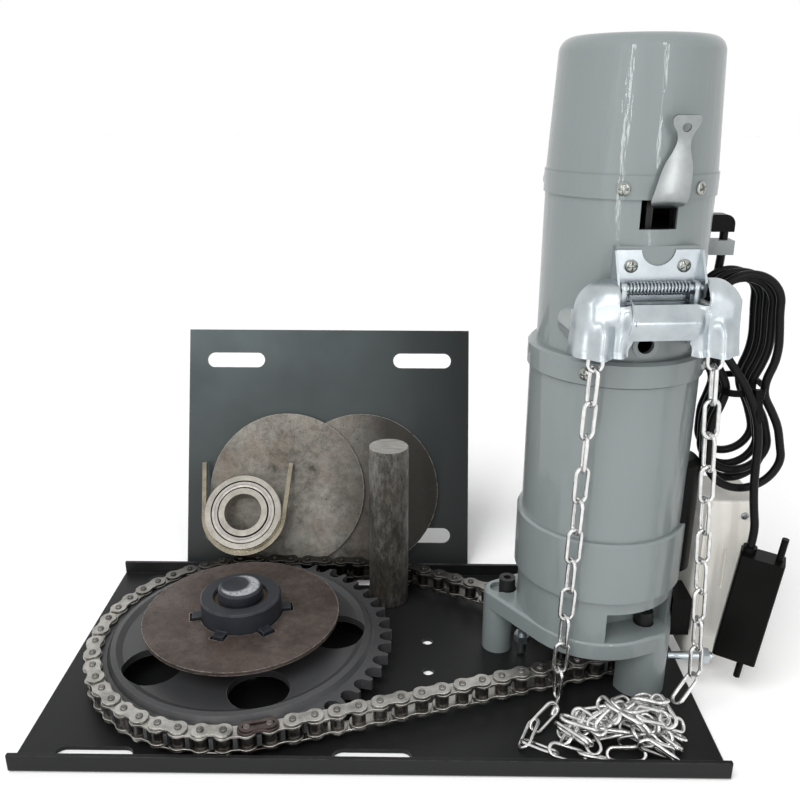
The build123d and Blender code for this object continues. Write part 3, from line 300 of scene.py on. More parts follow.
def mill_scale(name, tones, rough, scale, stretch=(1, 1, 1), edge=None, top=None, shade=None):
    """Hot-rolled steel: patchy scale, stains, specks and pits, with any painted edge highlight, painted shade
    or sawn top.
    """
    s = Shader(name, metallic=0.4, rough=rough, specular=0.3)
    where = s.mapped(stretch)
    elsewhere = s.mapped(stretch, (3.1, 1.7, 2.3))
    cloud = s.maths("ADD", s.times(s.noise(scale, 10, 0.7, where), 0.62),
                    s.times(s.noise(scale * 9, 6, 0.75, where), 0.38))
    look = s.ramp(cloud, [(0.38, tones[0]), (0.49, tones[1]), (0.60, tones[2])])
    rust = tuple(c * k for c, k in zip(tones[1], (1.22, 1.0, 0.84)))
    stain = s.mask(s.noise(scale * 1.6, 7, 0.65, elsewhere), 0.48, 0.64)
    look = s.mix(s.times(stain, 0.4), look, rust)
    patch = s.mask(s.noise(scale * 0.7, 5, 0.6, elsewhere), 0.45, 0.60)
    specks = s.times(s.mask(s.noise(1300, 3, 0.6), 0.50, 0.70), s.times(patch, 0.6))
    look = s.mix(specks, look, tones[3])
    look = s.mix(s.mask(s.noise(380, 5, 0.65, elsewhere), 0.62, 0.70), look, tones[0])
    # Painted shade: darker towards +X, where the back weld disc lies in shadow.
    if shade:
        dark = tuple(c * 0.5 for c in tones[0])
        look = s.mix(s.times(s.mask(s.axis("X"), *shade), 0.95), look, dark)
    # Painted highlight: a bright colour in broken patches on sharp edges, for light caught along the rims.
    if edge:
        broken = s.mask(s.noise(260, 5), 0.34, 0.6)
        look = s.mix(s.times(s.edges(), broken), look, edge)
    if top:
        sawn = s.ramp(s.noise(90, 5, 0.6, s.mapped((1, 9, 1))), [(0.3, tones[2]), (0.6, top)])
        look = s.mix(s.upward(), look, sawn)
    s.colour(look).roughness(s.noise(scale * 2, 6), rough * 0.75, rough * 1.2)
    return s.bump(s.noise(scale * 6, 8, 0.7), 0.3, 0.0004).material


def axle_steel():
    """Blued bar with a bright crescent on its end face."""
    s = Shader("axle_steel", metallic=0.4, rough=0.42, specular=0.4)
    blued = s.ramp(s.noise(70, 6), [(0.3, (0.016, 0.018, 0.024)), (0.7, (0.042, 0.046, 0.056))])
    outer = s.within((AXLE[0] * MM, AXLE[1] * MM), 0.0150, 0.0008)
    inner = s.within(((AXLE[0] - 4.6) * MM, (AXLE[1] + 2.6) * MM), 0.0118, 0.0016)
    moon = s.times(s.times(outer, s.maths("SUBTRACT", 1.0, inner)), s.upward())
    bright = s.times(moon, s.mask(s.noise(420, 6, 0.7), 0.30, 0.50))
    s.colour(s.mix(bright, blued, (0.46, 0.47, 0.49))).roughness(s.noise(90, 4), 0.34, 0.5)
    return s.bump(s.noise(500, 5), 0.12, 0.0003).material


MATERIALS = {
    "charcoal": painted("charcoal_paint", (0.0075, 0.0082, 0.0078), (0.0112, 0.0120, 0.0115), 0.40, peel=0.04,
                        wear=(0.045, 0.046, 0.045), scale=4, specular=0.22),
    "end_charcoal": end_plate_paint(),
    "sprocket": painted("sprocket_black", (0.024, 0.0242, 0.0255), (0.058, 0.0585, 0.062), 0.38, peel=0.06,
                        wear=(0.12, 0.118, 0.114), scale=7),
    "hub": painted("hub_black", (0.011, 0.0122, 0.016), (0.021, 0.0235, 0.030), 0.46, peel=0.08,
                   wear=(0.10, 0.10, 0.105), scale=22, specular=0.35),
    "motor_paint": gloss_paint("motor_paint", (0.176, 0.203, 0.204), (0.204, 0.233, 0.235)),
    # edge: a painted rim highlight on the flange disc's and the weld discs' sharp edges.
    "oiled": mill_scale("oiled_steel", ((0.036, 0.028, 0.024), (0.072, 0.055, 0.048), (0.118, 0.093, 0.082),
                                        (0.19, 0.155, 0.138)), 0.40, 22, edge=(0.40, 0.37, 0.33)),
    # shade: painted shade on the back weld disc, darker towards +X.
    "mill": mill_scale("mill_steel", ((0.050, 0.045, 0.039), (0.158, 0.148, 0.130), (0.27, 0.258, 0.230),
                                      (0.42, 0.405, 0.36)), 0.52, 16, edge=(0.42, 0.41, 0.37),
                       shade=(-0.055, 0.005)),
    "mill_bar": mill_scale("mill_bar", ((0.012, 0.0115, 0.010), (0.055, 0.052, 0.046), (0.18, 0.172, 0.155),
                                        (0.40, 0.39, 0.355)), 0.5, 30, (1, 1, 0.4), top=(0.40, 0.392, 0.362)),
    "axle": axle_steel(),
    "turned": plated("turned_steel", (0.36, 0.34, 0.30), (0.54, 0.515, 0.46), 0.24, 80),
    "shield": plated("bearing_shield", (0.40, 0.38, 0.35), (0.58, 0.555, 0.515), 0.32, 140),
    "bronze": plated("bronze", (0.060, 0.044, 0.030), (0.11, 0.082, 0.055), 0.45),
    "chain": plated("chain_steel", (0.31, 0.30, 0.275), (0.56, 0.545, 0.51), 0.34, 130, grime_and_shade=True),
    "pin_head": plated("chain_pin", (0.14, 0.135, 0.128), (0.31, 0.30, 0.285), 0.38, 130, grime_and_shade=True),
    "chain_dark": plated("chain_dark", (0.07, 0.052, 0.048), (0.15, 0.122, 0.115), 0.42, 130),
    "roller": plated("chain_roller", (0.075, 0.067, 0.061), (0.22, 0.20, 0.185), 0.34, 130, grime_and_shade=True),
    "zinc": plated("zinc_plate", (0.38, 0.425, 0.45), (0.60, 0.645, 0.67), 0.32, 34, grain=0.04),
    "screw": plated("screw_nickel", (0.30, 0.31, 0.29), (0.46, 0.47, 0.45), 0.26, 200),
    "zinc_dull": plated("zinc_dull", (0.26, 0.28, 0.28), (0.40, 0.42, 0.42), 0.34, 55, grain=0.01),
    # Painted shade: the guide's leaf in a darker blue-grey than the zinc, for the shaded recess under the
    # spring.
    "shaded_leaf": plated("shaded_leaf_steel", (0.085, 0.105, 0.125), (0.16, 0.19, 0.215), 0.34, 50, (1, 8, 8)),
    "hand_chain": plated("hand_chain_zinc", (0.58, 0.58, 0.57), (0.84, 0.84, 0.83), 0.22, 150),
    "clip_zinc": plated("clip_zinc", (0.19, 0.17, 0.125), (0.38, 0.345, 0.265), 0.26, 70),
    "gear": plated("gear_steel", (0.20, 0.20, 0.205), (0.34, 0.34, 0.35), 0.38, 90),
    "lamination": plated("lamination", (0.16, 0.16, 0.165), (0.28, 0.28, 0.285), 0.45, 20, (1, 1, 60)),
    "copper": plated("copper_wire", (0.36, 0.14, 0.055), (0.56, 0.27, 0.13), 0.38, 60, (1, 1, 30)),
    "cast": mill_scale("cast_grey", ((0.12, 0.12, 0.125), (0.16, 0.16, 0.165), (0.20, 0.20, 0.205),
                                     (0.26, 0.26, 0.265)), 0.55, 60),
    "lining": moulded("brake_lining", (0.09, 0.075, 0.06), (0.17, 0.145, 0.11), 0.8, 0.4),
    "cream": moulded("cream_plastic", (0.70, 0.68, 0.625), (0.77, 0.75, 0.695), 0.36, 0.05),
    "black_plastic": moulded("black_plastic", (0.0030, 0.0031, 0.0028), (0.0050, 0.0051, 0.0047), 0.3, 0.10,
                             specular=0.07),
    "grey_plastic": moulded("grey_plastic", (0.28, 0.31, 0.31), (0.33, 0.36, 0.36), 0.4, 0.06),
    "cable": moulded("cable_sheath", (0.0030, 0.0030, 0.0031), (0.0052, 0.0052, 0.0053), 0.34, 0.10,
                     specular=0.15),
    "black_bolt": painted("black_bolt", (0.008, 0.008, 0.008), (0.016, 0.016, 0.016), 0.42,
                          wear=(0.07, 0.07, 0.07), specular=0.3),
}

NODE_LOOKS = {
    "charcoal": ["base_plate"],
    "end_charcoal": ["end_plate"],
    "sprocket": ["driven_sprocket"],
    "hub": ["dog_hub"],
    "oiled": ["flange_disc"],
    "mill": ["weld_discs"],
    "mill_bar": ["shaft_stub"],
    "axle": ["axle"],
    "turned": ["output_shaft", "rotor_shaft", "cluster_pin", "thrust_washer", "bearing_outer_ring",
               "bearing_inner_ring", "rotor_bearings"],
    "shield": ["bearing_shields"],
    "bronze": ["axle_bush", "output_bearing"],
    "motor_paint": ["gear_casting", "motor_housing", "flange_ring", "upper_housing", "top_cap"],
    "zinc": ["hinge_bracket", "chain_guide", "hinge_pin", "lever_pin", "guide_spring", "housing_screws",
             "casting_studs"],
    "zinc_dull": ["brake_lever"],
    "hand_chain": ["hand_chain_left", "hand_chain_right", "hand_chain_pile"],
    "clip_zinc": ["bearing_clip"],
    "black_bolt": ["foot_bolts", "brake_magnet"],
    "gear": ["cluster_gear", "output_gear", "drive_sprocket"],
    "lamination": ["stator_core", "rotor_core"],
    "copper": ["stator_windings"],
    "cast": ["hand_chain_wheel", "end_shield"],
    "lining": ["brake_disc"],
    "cream": ["limit_switch_box", "limit_box_base"],
    "black_plastic": ["limit_bracket", "capacitor_cover", "receiver_box", "receiver_stubs", "cable_gland"],
    "grey_plastic": ["cable_clip"],
    "cable": ["power_lead", "cable_hank", "receiver_lead"],
    "chain": ["chain_outer_links"],
    "roller": ["chain_inner_links"],
    "chain_dark": ["connecting_link"],
}


def dress_nodes():
    for look, names in NODE_LOOKS.items():
        for name in names:
            mesh = NODES[name].data
            mesh.materials.clear()
            mesh.materials.append(MATERIALS[look])


# Stage: floor, world and lamps, in metres and watts
FLOOR_HALF = 12.0
FLOOR_Z = -0.0004
FLOOR_LIFT = 0.07
AMBIENT = 0.44
SUNS = (
    ("sun_key", (0.45, 0.55, -1.0), 2.0, 40),
    ("sun_fill", (-0.5, 0.5, -0.8), 0.1, 60),
)
STRIP_AIM = (0.17, 0, 0.3)
STRIP_HIGH = 1.3
STRIPS = (
    ("strip_left", (-0.50, -1.5, 0.75), 0.08, 4.4),
    ("strip_wide", (-0.95, -1.3, 0.75), 0.26, 0.9),
    ("strip_right", (0.62, -1.3, 0.75), 0.06, 3.6),
)


def make_floor():
    h = FLOOR_HALF
    mesh = bpy.data.meshes.new("floor")
    mesh.from_pydata([(-h, -h, 0), (h, -h, 0), (h, h, 0), (-h, h, 0)], [], [(0, 1, 2, 3)])
    floor = new_object("floor", mesh)
    s = Shader("floor", rough=0.7, specular=0.1)
    s.colour(s.ramp(s.noise(3, 2), [(0.3, (0.955, 0.955, 0.955)), (0.7, (0.97, 0.97, 0.97))]))
    s.shade("Emission Color", WHITE)
    s.shade("Emission Strength", s.times(s.seen_rays(), FLOOR_LIFT))
    mesh.materials.append(s.material)
    floor.location.z = FLOOR_Z


def make_world():
    world = bpy.data.worlds.new("world")
    world.use_nodes = True
    SCENE.world = world
    nodes = Nodes(world.node_tree)
    strength = nodes.add("MapRange", {"Value": nodes.seen_rays(), "To Min": AMBIENT, "To Max": 1.0})
    back = nodes.add("Background", {"Color": WHITE, "Strength": strength.outputs[0]})
    nodes.add("OutputWorld", {"Surface": back.outputs[0]})


def add_lamp(name, kind, power, way):
    data = bpy.data.lights.new(name, kind)
    data.energy = power
    lamp = new_object(name, data)
    lamp.rotation_euler = Vector(way).to_track_quat("-Z", "Y").to_euler()
    return lamp


def make_lamps():
    for name, way, power, soft in SUNS:
        sun = add_lamp(name, "SUN", power, way)
        sun.data.angle = math.radians(soft)
        sun.visible_glossy = False
    for name, at, wide, power in STRIPS:
        strip = add_lamp(name, "AREA", power, Vector(STRIP_AIM) - Vector(at))
        strip.location = at
        strip.data.shape = "RECTANGLE"
        strip.data.size = wide
        strip.data.size_y = STRIP_HIGH


# Turns, shifts and curves
def polar(radius, degrees, x=0.0, y=0.0):
    a = math.radians(degrees)
    return (x + radius * math.cos(a), y + radius * math.sin(a))


def spin(degrees, axis):
    return Matrix.Rotation(math.radians(degrees), 4, axis)


def shift(x, y, z):
    return Matrix.Translation((x, y, z))


def smooth(x, low, high):
    """Zero at low, one at high, level at both."""
    t = max(0.0, min(1.0, (x - low) / (high - low)))
    return t * t * (3 - 2 * t)


def arc(x, radius):
    """One up to x = 0, then round a quarter circle to zero at the radius."""
    return math.sqrt(max(0.0, 1 - (max(x, 0.0) / radius) ** 2))


def through(x, marks):
    """A smooth value at x through (x, value) marks."""
    i = next(i for i in range(len(marks) - 1) if x <= marks[i + 1][0])
    (x0, v0), (x1, v1) = marks[i], marks[i + 1]
    before, after = marks[max(i - 1, 0)], marks[min(i + 2, len(marks) - 1)]
    h = x1 - x0
    t = (x - x0) / h
    s0 = (v1 - before[1]) / (x1 - before[0])
    s1 = (after[1] - v0) / (after[0] - x0)
    return ((2 * t ** 3 - 3 * t * t + 1) * v0 + (t ** 3 - 2 * t * t + t) * h * s0
            + (3 * t * t - 2 * t ** 3) * v1 + (t ** 3 - t * t) * h * s1)


HERE = Matrix.Identity(4)
FRONT = shift(MOTOR[0], MOTOR[1], 0) @ spin(FRONT_TURN, "Z")
HINGE = FRONT @ shift(HINGE_X, 0, 0)


# Mesh tools. Lengths are in millimetres until a piece is made.
class Form:
    """Points and faces of one or more shapes, each face with the number of its material."""

    def __init__(self):
        self.points = []
        self.faces = []
        self.marks = []

    def add(self, points, faces, marks=None):
        base = len(self.points)
        self.points += [tuple(p) for p in points]
        self.faces += [tuple(base + i for i in face) for face in faces]
        self.marks += marks or [0] * len(faces)
        return self

    def put(self, other, place=HERE, mark=None):
        """Add another form at a place, with its own marks or one mark for all its faces."""
        marks = other.marks if mark is None else [mark] * len(other.faces)
        return self.add([place @ Vector(p) for p in other.points], other.faces, marks)


def make_piece(name, form, looks, body, nodes=(), sharp=35):
    """A mesh object from a form, riding on a body and standing for its nodes."""
    mesh = bpy.data.meshes.new(name)
    mesh.from_pydata([tuple(c * MM for c in p) for p in form.points], [], form.faces)
    for look in looks:
        mesh.materials.append(MATERIALS[look])
    mesh.polygons.foreach_set("use_smooth", [True] * len(form.faces))
    mesh.polygons.foreach_set("material_index", form.marks)
    mesh.validate()
    mesh.update()
    mesh.set_sharp_from_angle(angle=math.radians(sharp))
    piece = new_object(name, mesh)
    if body:
        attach(piece, body)
    if nodes:
        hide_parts(*nodes)
    return piece


def stack(rows, ring=False):
    """A shape through rows of points, each row closed: a solid with two end faces, or a ring."""
    count = len(rows[0])
    last = (len(rows) - 1) * count
    faces = []
    for r in range(len(rows) if ring else len(rows) - 1):
        a, b = r * count, (r + 1) % len(rows) * count
        for i in range(count):
            j = (i + 1) % count
            faces.append((a + i, a + j, b + j, b + i))
    if not ring:
        faces += [tuple(reversed(range(count))), tuple(range(last, last + count))]
    return Form().add([p for row in rows for p in row], faces)


def level(outline, z):
    return [(x, y, z) for x, y in outline]


def lathe(profile, count, ring=False):
    """A shape turned about Z from (radius, height) points: a solid, or a ring from a closed loop."""
    return stack([level((polar(r, 360 * i / count) for i in range(count)), z) for r, z in profile], ring)


def rectangle(x0, x1, y0, y1):
    return [(x0, y0), (x1, y0), (x1, y1), (x0, y1)]


def inset(outline, by):
    """A closed outline moved inward by a distance."""
    moved = []
    count = len(outline)
    for i, (x, y) in enumerate(outline):
        (x0, y0), (x1, y1) = outline[i - 1], outline[(i + 1) % count]
        dx, dy = x1 - x0, y1 - y0
        size = math.hypot(dx, dy)
        moved.append((x - dy / size * by, y + dx / size * by))
    return moved


def slab(outline, z0, z1, edge):
    """A plate on a closed outline with broken edges."""
    small = inset(outline, edge)
    return stack([level(small, z0), level(outline, z0 + edge), level(outline, z1 - edge), level(small, z1)])


def tube_along(path, radius, count, closed=False):
    """A round tube along points."""
    path = [Vector(p) for p in path]
    steps = len(path)
    side = None
    rows = []
    for i, p in enumerate(path):
        before = path[i - 1] if closed or i else p
        after = path[(i + 1) % steps] if closed or i < steps - 1 else p
        way = (after - before).normalized()
        if side is None:
            side = way.orthogonal().normalized()
        side = (side - way * side.dot(way)).normalized()
        other = way.cross(side)
        turns = (2 * math.pi * j / count for j in range(count))
        rows.append([p + radius * (math.cos(a) * side + math.sin(a) * other) for a in turns])
    return stack(rows, closed)


def pressed_sheet(rows, thick, keep=None):
    """A sheet of even thickness on a grid of points, with walls round its rim and round every hole in it."""
    high, wide = len(rows), len(rows[0])
    grid = [[Vector(p) for p in row] for row in rows]
    front = [p for row in grid for p in row]
    back = []
    for j in range(high):
        for i in range(wide):
            across = grid[j][min(i + 1, wide - 1)] - grid[j][max(i - 1, 0)]
            down = grid[min(j + 1, high - 1)][i] - grid[max(j - 1, 0)][i]
            back.append(grid[j][i] - across.cross(down).normalized() * thick)
    behind = len(front)
    faces = []
    rims = {}
    for j in range(high - 1):
        for i in range(wide - 1):
            if keep and not keep(i, j):
                continue
            a, b, c, d = j * wide + i, j * wide + i + 1, (j + 1) * wide + i + 1, (j + 1) * wide + i
            faces.append((a, b, c, d))
            faces.append((d + behind, c + behind, b + behind, a + behind))
            for edge in ((a, b), (b, c), (c, d), (d, a)):
                if edge[::-1] in rims:
                    del rims[edge[::-1]]
                else:
                    rims[edge] = True
    for a, b in rims:
        faces.append((b, a, a + behind, b + behind))
    return Form().add(front + back, faces)


# Roller chain. A link's outline has its eyes' radius and half its waist, and heights are from its middle.
INNER_LINK = (7.3, 5.45)
OUTER_LINK = (6.7, 4.95)
CLIP_RIM = (5.4, 4.65)
CLIP_SLOT = (0.86, 0.42)
CLIP_T = 1.2
CLIP_LIFT = 0.3
WAIST_HALF = 2.6
LINK_EDGE = 0.3
LINK_T = 1.9
INNER_Z = 4.75
LINK_GAP = 0.1
OUTER_Z = INNER_Z + LINK_T + LINK_GAP
HEAD_Z = OUTER_Z + LINK_T
ROLLER = [(4.6, -4.7), (5.08, -4.2), (5.08, 4.2), (4.6, 4.7)]
PIN_HEAD = [(2.6, 0), (2.6, 0.7), (2.2, 1.25), (1.75, 1.3), (1.55, 1.05), (1.2, 1.05), (1.0, 1.5), (0.3, 1.6)]
JOINING_SPOT = Vector((-85, -112))
PIN_SEARCH = (0.9, 1.3)
HALVINGS = 40


def pitch_radius(teeth):
    return CHAIN_PITCH / 2 / math.sin(math.pi / teeth)


def tangent_normal(c1, r1, c2, r2):
    """Angle at which the chain leaves one circle for the next."""
    dx, dy = c2[0] - c1[0], c2[1] - c1[1]
    return math.atan2(dy, dx) - math.acos((r1 - r2) / math.hypot(dx, dy))


def chain_pins():
    """Pin places one pitch apart round the two sprockets and the standing shaft blank."""
    circles = [(AXLE, pitch_radius(DRIVEN_TEETH)), (MOTOR, pitch_radius(DRIVE_TEETH)), (STUB, STUB_PATH_R)]
    normals = [tangent_normal(*circles[i], *circles[(i + 1) % 3]) for i in range(3)]
    pieces = []
    for i, (centre, radius) in enumerate(circles):
        turn = (normals[i] - normals[i - 1]) % (2 * math.pi)
        pieces.append((radius * turn, centre, radius, normals[i - 1]))
        following, next_radius = circles[(i + 1) % 3]
        leaving = math.degrees(normals[i])
        start = Vector(polar(radius, leaving, *centre))
        end = Vector(polar(next_radius, leaving, *following))
        pieces.append(((end - start).length, start, end, None))
    total = sum(p[0] for p in pieces)

    def place(s):
        s = s % total
        for length, a, b, angle in pieces:
            if s <= length:
                break
            s -= length
        if angle is None:
            return a + (b - a) * (s / length)
        return Vector((a[0] + b * math.cos(angle + s / b), a[1] + b * math.sin(angle + s / b)))

    s = (math.pi - pieces[0][3]) % (2 * math.pi) * pieces[0][2]
    pins = []
    for _ in range(CHAIN_COUNT):
        here = place(s)
        pins.append(here)
        low, high = (s + share * CHAIN_PITCH for share in PIN_SEARCH)
        for _ in range(HALVINGS):
            mid = (low + high) / 2
            if (place(mid) - here).length < CHAIN_PITCH:
                low = mid
            else:
                high = mid
        s = low
    return pins


def link_outline(radius, waist):
    """A link plate's outline: two round eyes and a drawn-in waist."""
    points = []
    for side in (1, -1):
        for a in range(-100, 101, 20):
            x, y = polar(radius, a)
            points.append((side * (CHAIN_PITCH / 2 + x), side * y))
        points.append((side * WAIST_HALF, side * waist))
        points.append((-side * WAIST_HALF, side * waist))
    return points


def spring_clip():
    """The connecting link's slotted clip."""
    rim = link_outline(*CLIP_RIM)
    slot = [(x * CLIP_SLOT[0], y * CLIP_SLOT[1]) for x, y in rim]
    top = HEAD_Z + CLIP_T
    return stack([level(rim, HEAD_Z), level(rim, top), level(slot, top), level(slot, HEAD_Z)], ring=True)


def make_roller_chain():
    inner_plate = slab(link_outline(*INNER_LINK), INNER_Z, INNER_Z + LINK_T, LINK_EDGE)
    outer_plate = slab(link_outline(*OUTER_LINK), OUTER_Z, HEAD_Z, LINK_EDGE)
    roller, head = lathe(ROLLER, 18), lathe(PIN_HEAD, 14)
    over = spin(180, "X")
    ends = [shift(side * CHAIN_PITCH / 2, 0, 0) for side in (-1, 1)]
    inner, outer, joining = Form(), Form(), Form()
    for face in (HERE, over):
        inner.put(inner_plate, face, 0)
        outer.put(outer_plate, face, 0)
        joining.put(outer_plate, face, 0)
        for end in ends:
            outer.put(head, face @ end @ shift(0, 0, HEAD_Z), 1)
    for end in ends:
        inner.put(roller, end, 1)
        joining.put(head, over @ end @ shift(0, 0, HEAD_Z), 1)
        joining.put(head, end @ shift(0, 0, HEAD_Z + CLIP_LIFT), 1)
    joining.put(spring_clip(), mark=0)
    pins = chain_pins()
    joining_at = min(range(1, CHAIN_COUNT, 2), key=lambda k: (pins[k] - JOINING_SPOT).length)
    all_inner, all_outer, one_joining = Form(), Form(), Form()
    for k in range(CHAIN_COUNT):
        a, b = pins[k], pins[(k + 1) % CHAIN_COUNT]
        mid = (a + b) / 2
        place = shift(mid.x, mid.y, CHAIN_Z) @ Matrix.Rotation(math.atan2(b.y - a.y, b.x - a.x), 4, "Z")
        if k % 2 == 0:
            all_inner.put(inner, place)
        elif k == joining_at:
            one_joining.put(joining, place)
        else:
            all_outer.put(outer, place)
    make_piece("chain_inner", all_inner, ["chain", "roller"], "frame", ["chain_inner_links"])
    make_piece("chain_outer", all_outer, ["chain", "pin_head"], "frame", ["chain_outer_links"])
    make_piece("chain_joining_link", one_joining, ["chain_dark", "roller"], "frame",
               ["connecting_link"])


# Hand chain: long welded links of round wire
HAND_WIRE = 2.8
HAND_PITCH = 23.5
HAND_BEND = 4.6
HAND_HALF = 8.55
HAND_THIRD = HAND_HALF * 0.33
LEFT_STRAND = [(138, -60, 12)]
RIGHT_STRAND = [(237, -64, 36), (221.5, -73, 18)]
STRAND_ACROSS = (Vector((1, 0.2, 0)), Vector((-0.2, 1, 0)))
STRAND_TWIST = 14
STRAND_TOP = 14
STRAND_STILL_Z = 190


def hand_link():
    """One link about its middle, along Z and flat in XZ."""
    path = []
    for side in (1, -1):
        for a in range(0, 181, 20):
            x, z = polar(HAND_BEND, a)
            path.append((side * x, 0, side * (HAND_HALF + z)))
        path.append((-side * HAND_BEND, 0, side * HAND_THIRD))
        path.append((-side * HAND_BEND, 0, -side * HAND_THIRD))
    return tube_along(path, HAND_WIRE / 2, 10, closed=True)


def make_strand(name, node, stops, blend_from, blend_to):
    """Links one after another down a strand of straight runs, each a quarter turn from the last."""
    link = hand_link()
    chance = random.Random(len(name))
    form = Form()
    k = 0
    for top, bottom in zip(stops, stops[1:]):
        start, end = Vector(top), Vector(bottom)
        way = (end - start).normalized()
        count = round((end - start).length / HAND_PITCH)
        for step in range(count):
            middle = start.lerp(end, (step + 0.5) / count)
            across = STRAND_ACROSS[k % 2]
            across = (across - way * across.dot(way)).normalized()
            turn = Matrix((across, way.cross(across), way)).transposed().to_4x4()
            twist = spin(chance.uniform(-STRAND_TWIST, STRAND_TWIST), "Z")
            form.put(link, Matrix.Translation(middle) @ turn @ twist)
            k += 1
    piece = make_piece(name, form, ["hand_chain"], None, [node], sharp=60)
    start, end = (tuple(c * MM for c in at) for at in (blend_from, blend_to))
    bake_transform(piece)


def make_strands():
    for label, side, stops in (("left", -1, LEFT_STRAND), ("right", 1, RIGHT_STRAND)):
        spout = HINGE @ Vector((side * SPOUT_X, SPOUT_Y, GUIDE_BOTTOM + STRAND_TOP))
        make_strand(f"hand_chain_strand_{label}", f"hand_chain_{label}", [spout, *stops],
                    (spout.x, spout.y, GUIDE_BOTTOM), (spout.x, spout.y, STRAND_STILL_Z))


# Heap of hand chain on the plate, in millimetres and degrees
HEAP_TAIL = [(141, -56), (134, -74), (112, -92), (108, -104), (124, -115), (150, -116), (182, -117),
             (212, -115)]
HEAP_MIDDLE = (177, -99)
HEAP_REACH = (54, 18)
HEAP_SEED = 11
HEAP_TURNS = 14
HEAP_BEARING = 20.0
HEAP_TURN = (80, 200)
HEAP_SHARE = (0.6, 1.0)
HEAP_END = (219, -77)
HEAP_STEP = 20.5
HEAP_FIRST = 14
HEAP_LAST = 4
HEAP_SWAY = 3
HEAP_YAW = 55
HEAP_ROLL = 40
HEAP_ROLL_VARIES = 34
HEAP_TIP = 30.0
HEAP_TIP_SHARE = 0.9
HEAP_TIP_VARIES = 9
HEAP_END_AT = 11.0
HEAP_CELL = 2.0
HEAP_SETTLE = 0.86
HEAP_SINK = 0.8
HEAP_TOP = 40.0
PLATE_TOP = 3.0


def turn_to(way, roll):
    """A turn that takes Z along a sloping way, rolled about it."""
    z = way.normalized()
    across = Vector((0, 0, 1)).cross(z).normalized()
    y = z.cross(across).normalized()
    return Matrix((y.cross(z), y, z)).transposed().to_4x4() @ spin(roll, "Z")


def way_points(way, step):
    """Points a step apart along a line of straight runs."""
    points = []
    left = 0.0
    for a, b in zip(way, way[1:]):
        start, end = Vector((*a, 0)), Vector((*b, 0))
        run = (end - start).length
        while left <= run:
            points.append(start.lerp(end, left / run))
            left += step
        left -= run
    return points


def make_heap():
    """The chain's spare length, dropped link after link on what already lies below it."""
    chance = random.Random(HEAP_SEED)
    link = hand_link()
    ground = {}

    def vary(by):
        return chance.uniform(-by, by)

    def cell(x, y):
        return (round(x / HEAP_CELL), round(y / HEAP_CELL))

    def height(p):
        i, j = cell(p.x, p.y)
        return max(ground.get((i + di, j + dj), PLATE_TOP) for di in (-1, 0, 1) for dj in (-1, 0, 1))

    form = Form()
    way = list(HEAP_TAIL)
    bearing = HEAP_BEARING
    for _ in range(HEAP_TURNS):
        bearing += chance.uniform(*HEAP_TURN)
        share = chance.uniform(*HEAP_SHARE)
        way.append(tuple(m + r * share * c for m, r, c in zip(HEAP_MIDDLE, HEAP_REACH, polar(1, bearing))))
    stops = way_points(way + [HEAP_END], HEAP_STEP)
    for k, (a, b) in enumerate(zip(stops, stops[1:])):
        along = (b - a).normalized()
        across = Vector((-along.y, along.x, 0))
        middle = (a + b) / 2 + across * vary(HEAP_SWAY)
        yaw = vary(HEAP_YAW) if HEAP_FIRST < k < len(stops) - HEAP_LAST else 0.0
        along = spin(yaw, "Z") @ along
        roll = (HEAP_ROLL if k % 2 else -HEAP_ROLL) + vary(HEAP_ROLL_VARIES)
        back, front = (height(middle + along * (side * HEAP_END_AT)) for side in (-1, 1))
        tip = math.degrees(math.atan2(front - back, 2 * HEAP_END_AT)) * HEAP_TIP_SHARE + vary(HEAP_TIP_VARIES)
        tip = max(-HEAP_TIP, min(HEAP_TIP, tip))
        turn = turn_to(Vector((along.x, along.y, math.tan(math.radians(tip)))), 90 + roll)
        shape = [turn @ Vector(p) for p in link.points]
        needs = sorted(ground.get(cell(middle.x + p.x, middle.y + p.y), PLATE_TOP) - p.z for p in shape)
        lift = max(needs[int(len(needs) * HEAP_SETTLE)], PLATE_TOP - min(p.z for p in shape))
        lift = min(lift, HEAP_TOP - max(p.z for p in shape))
        form.put(link, shift(middle.x, middle.y, lift) @ turn)
        for p in shape:
            at = cell(middle.x + p.x, middle.y + p.y)
            ground[at] = max(ground.get(at, PLATE_TOP), lift + p.z - HEAP_SINK)
    make_piece("hand_chain_heap", form, ["hand_chain"], "frame", ["hand_chain_pile"], sharp=60)


# Torsion spring on the guide's hinge pin, its leg on the guide
HINGE_Y = -64.0
HINGE_Z = 322.0
SPRING_TURNS = 18
SPRING_PITCH = 2.2
SPRING_R = 3.7
SPRING_WIRE = 1.2
SPRING_STEPS = 14
SPRING_LEG = [(-2.4, -17.4, 296.5), (-1.9, -19.2, 301.5), (-1.2, -18.6, 305.0), (-0.8, -16.4, 309.5),
              (-0.5, -12.4, 314.6), (-0.2, -6.0, 317.0)]
SPRING_TAIL = (4.5, 0.4)


def make_spring():
    half = SPRING_TURNS * SPRING_PITCH / 2
    path = [(x - half, HINGE_Y + y, z) for x, y, z in SPRING_LEG]
    for i in range(SPRING_TURNS * SPRING_STEPS + 1):
        a = 2 * math.pi * i / SPRING_STEPS
        path.append((-half + SPRING_PITCH * i / SPRING_STEPS, HINGE_Y - SPRING_R * math.sin(a),
                     HINGE_Z - SPRING_R * math.cos(a)))
    path.append((half, HINGE_Y + SPRING_TAIL[0], HINGE_Z - SPRING_R - SPRING_TAIL[1]))
    form = Form().put(tube_along(path, SPRING_WIRE / 2, 8), HINGE)
    piece = make_piece("guide_spring_coil", form, ["zinc"], None, ["guide_spring"], sharp=60)
    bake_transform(piece)


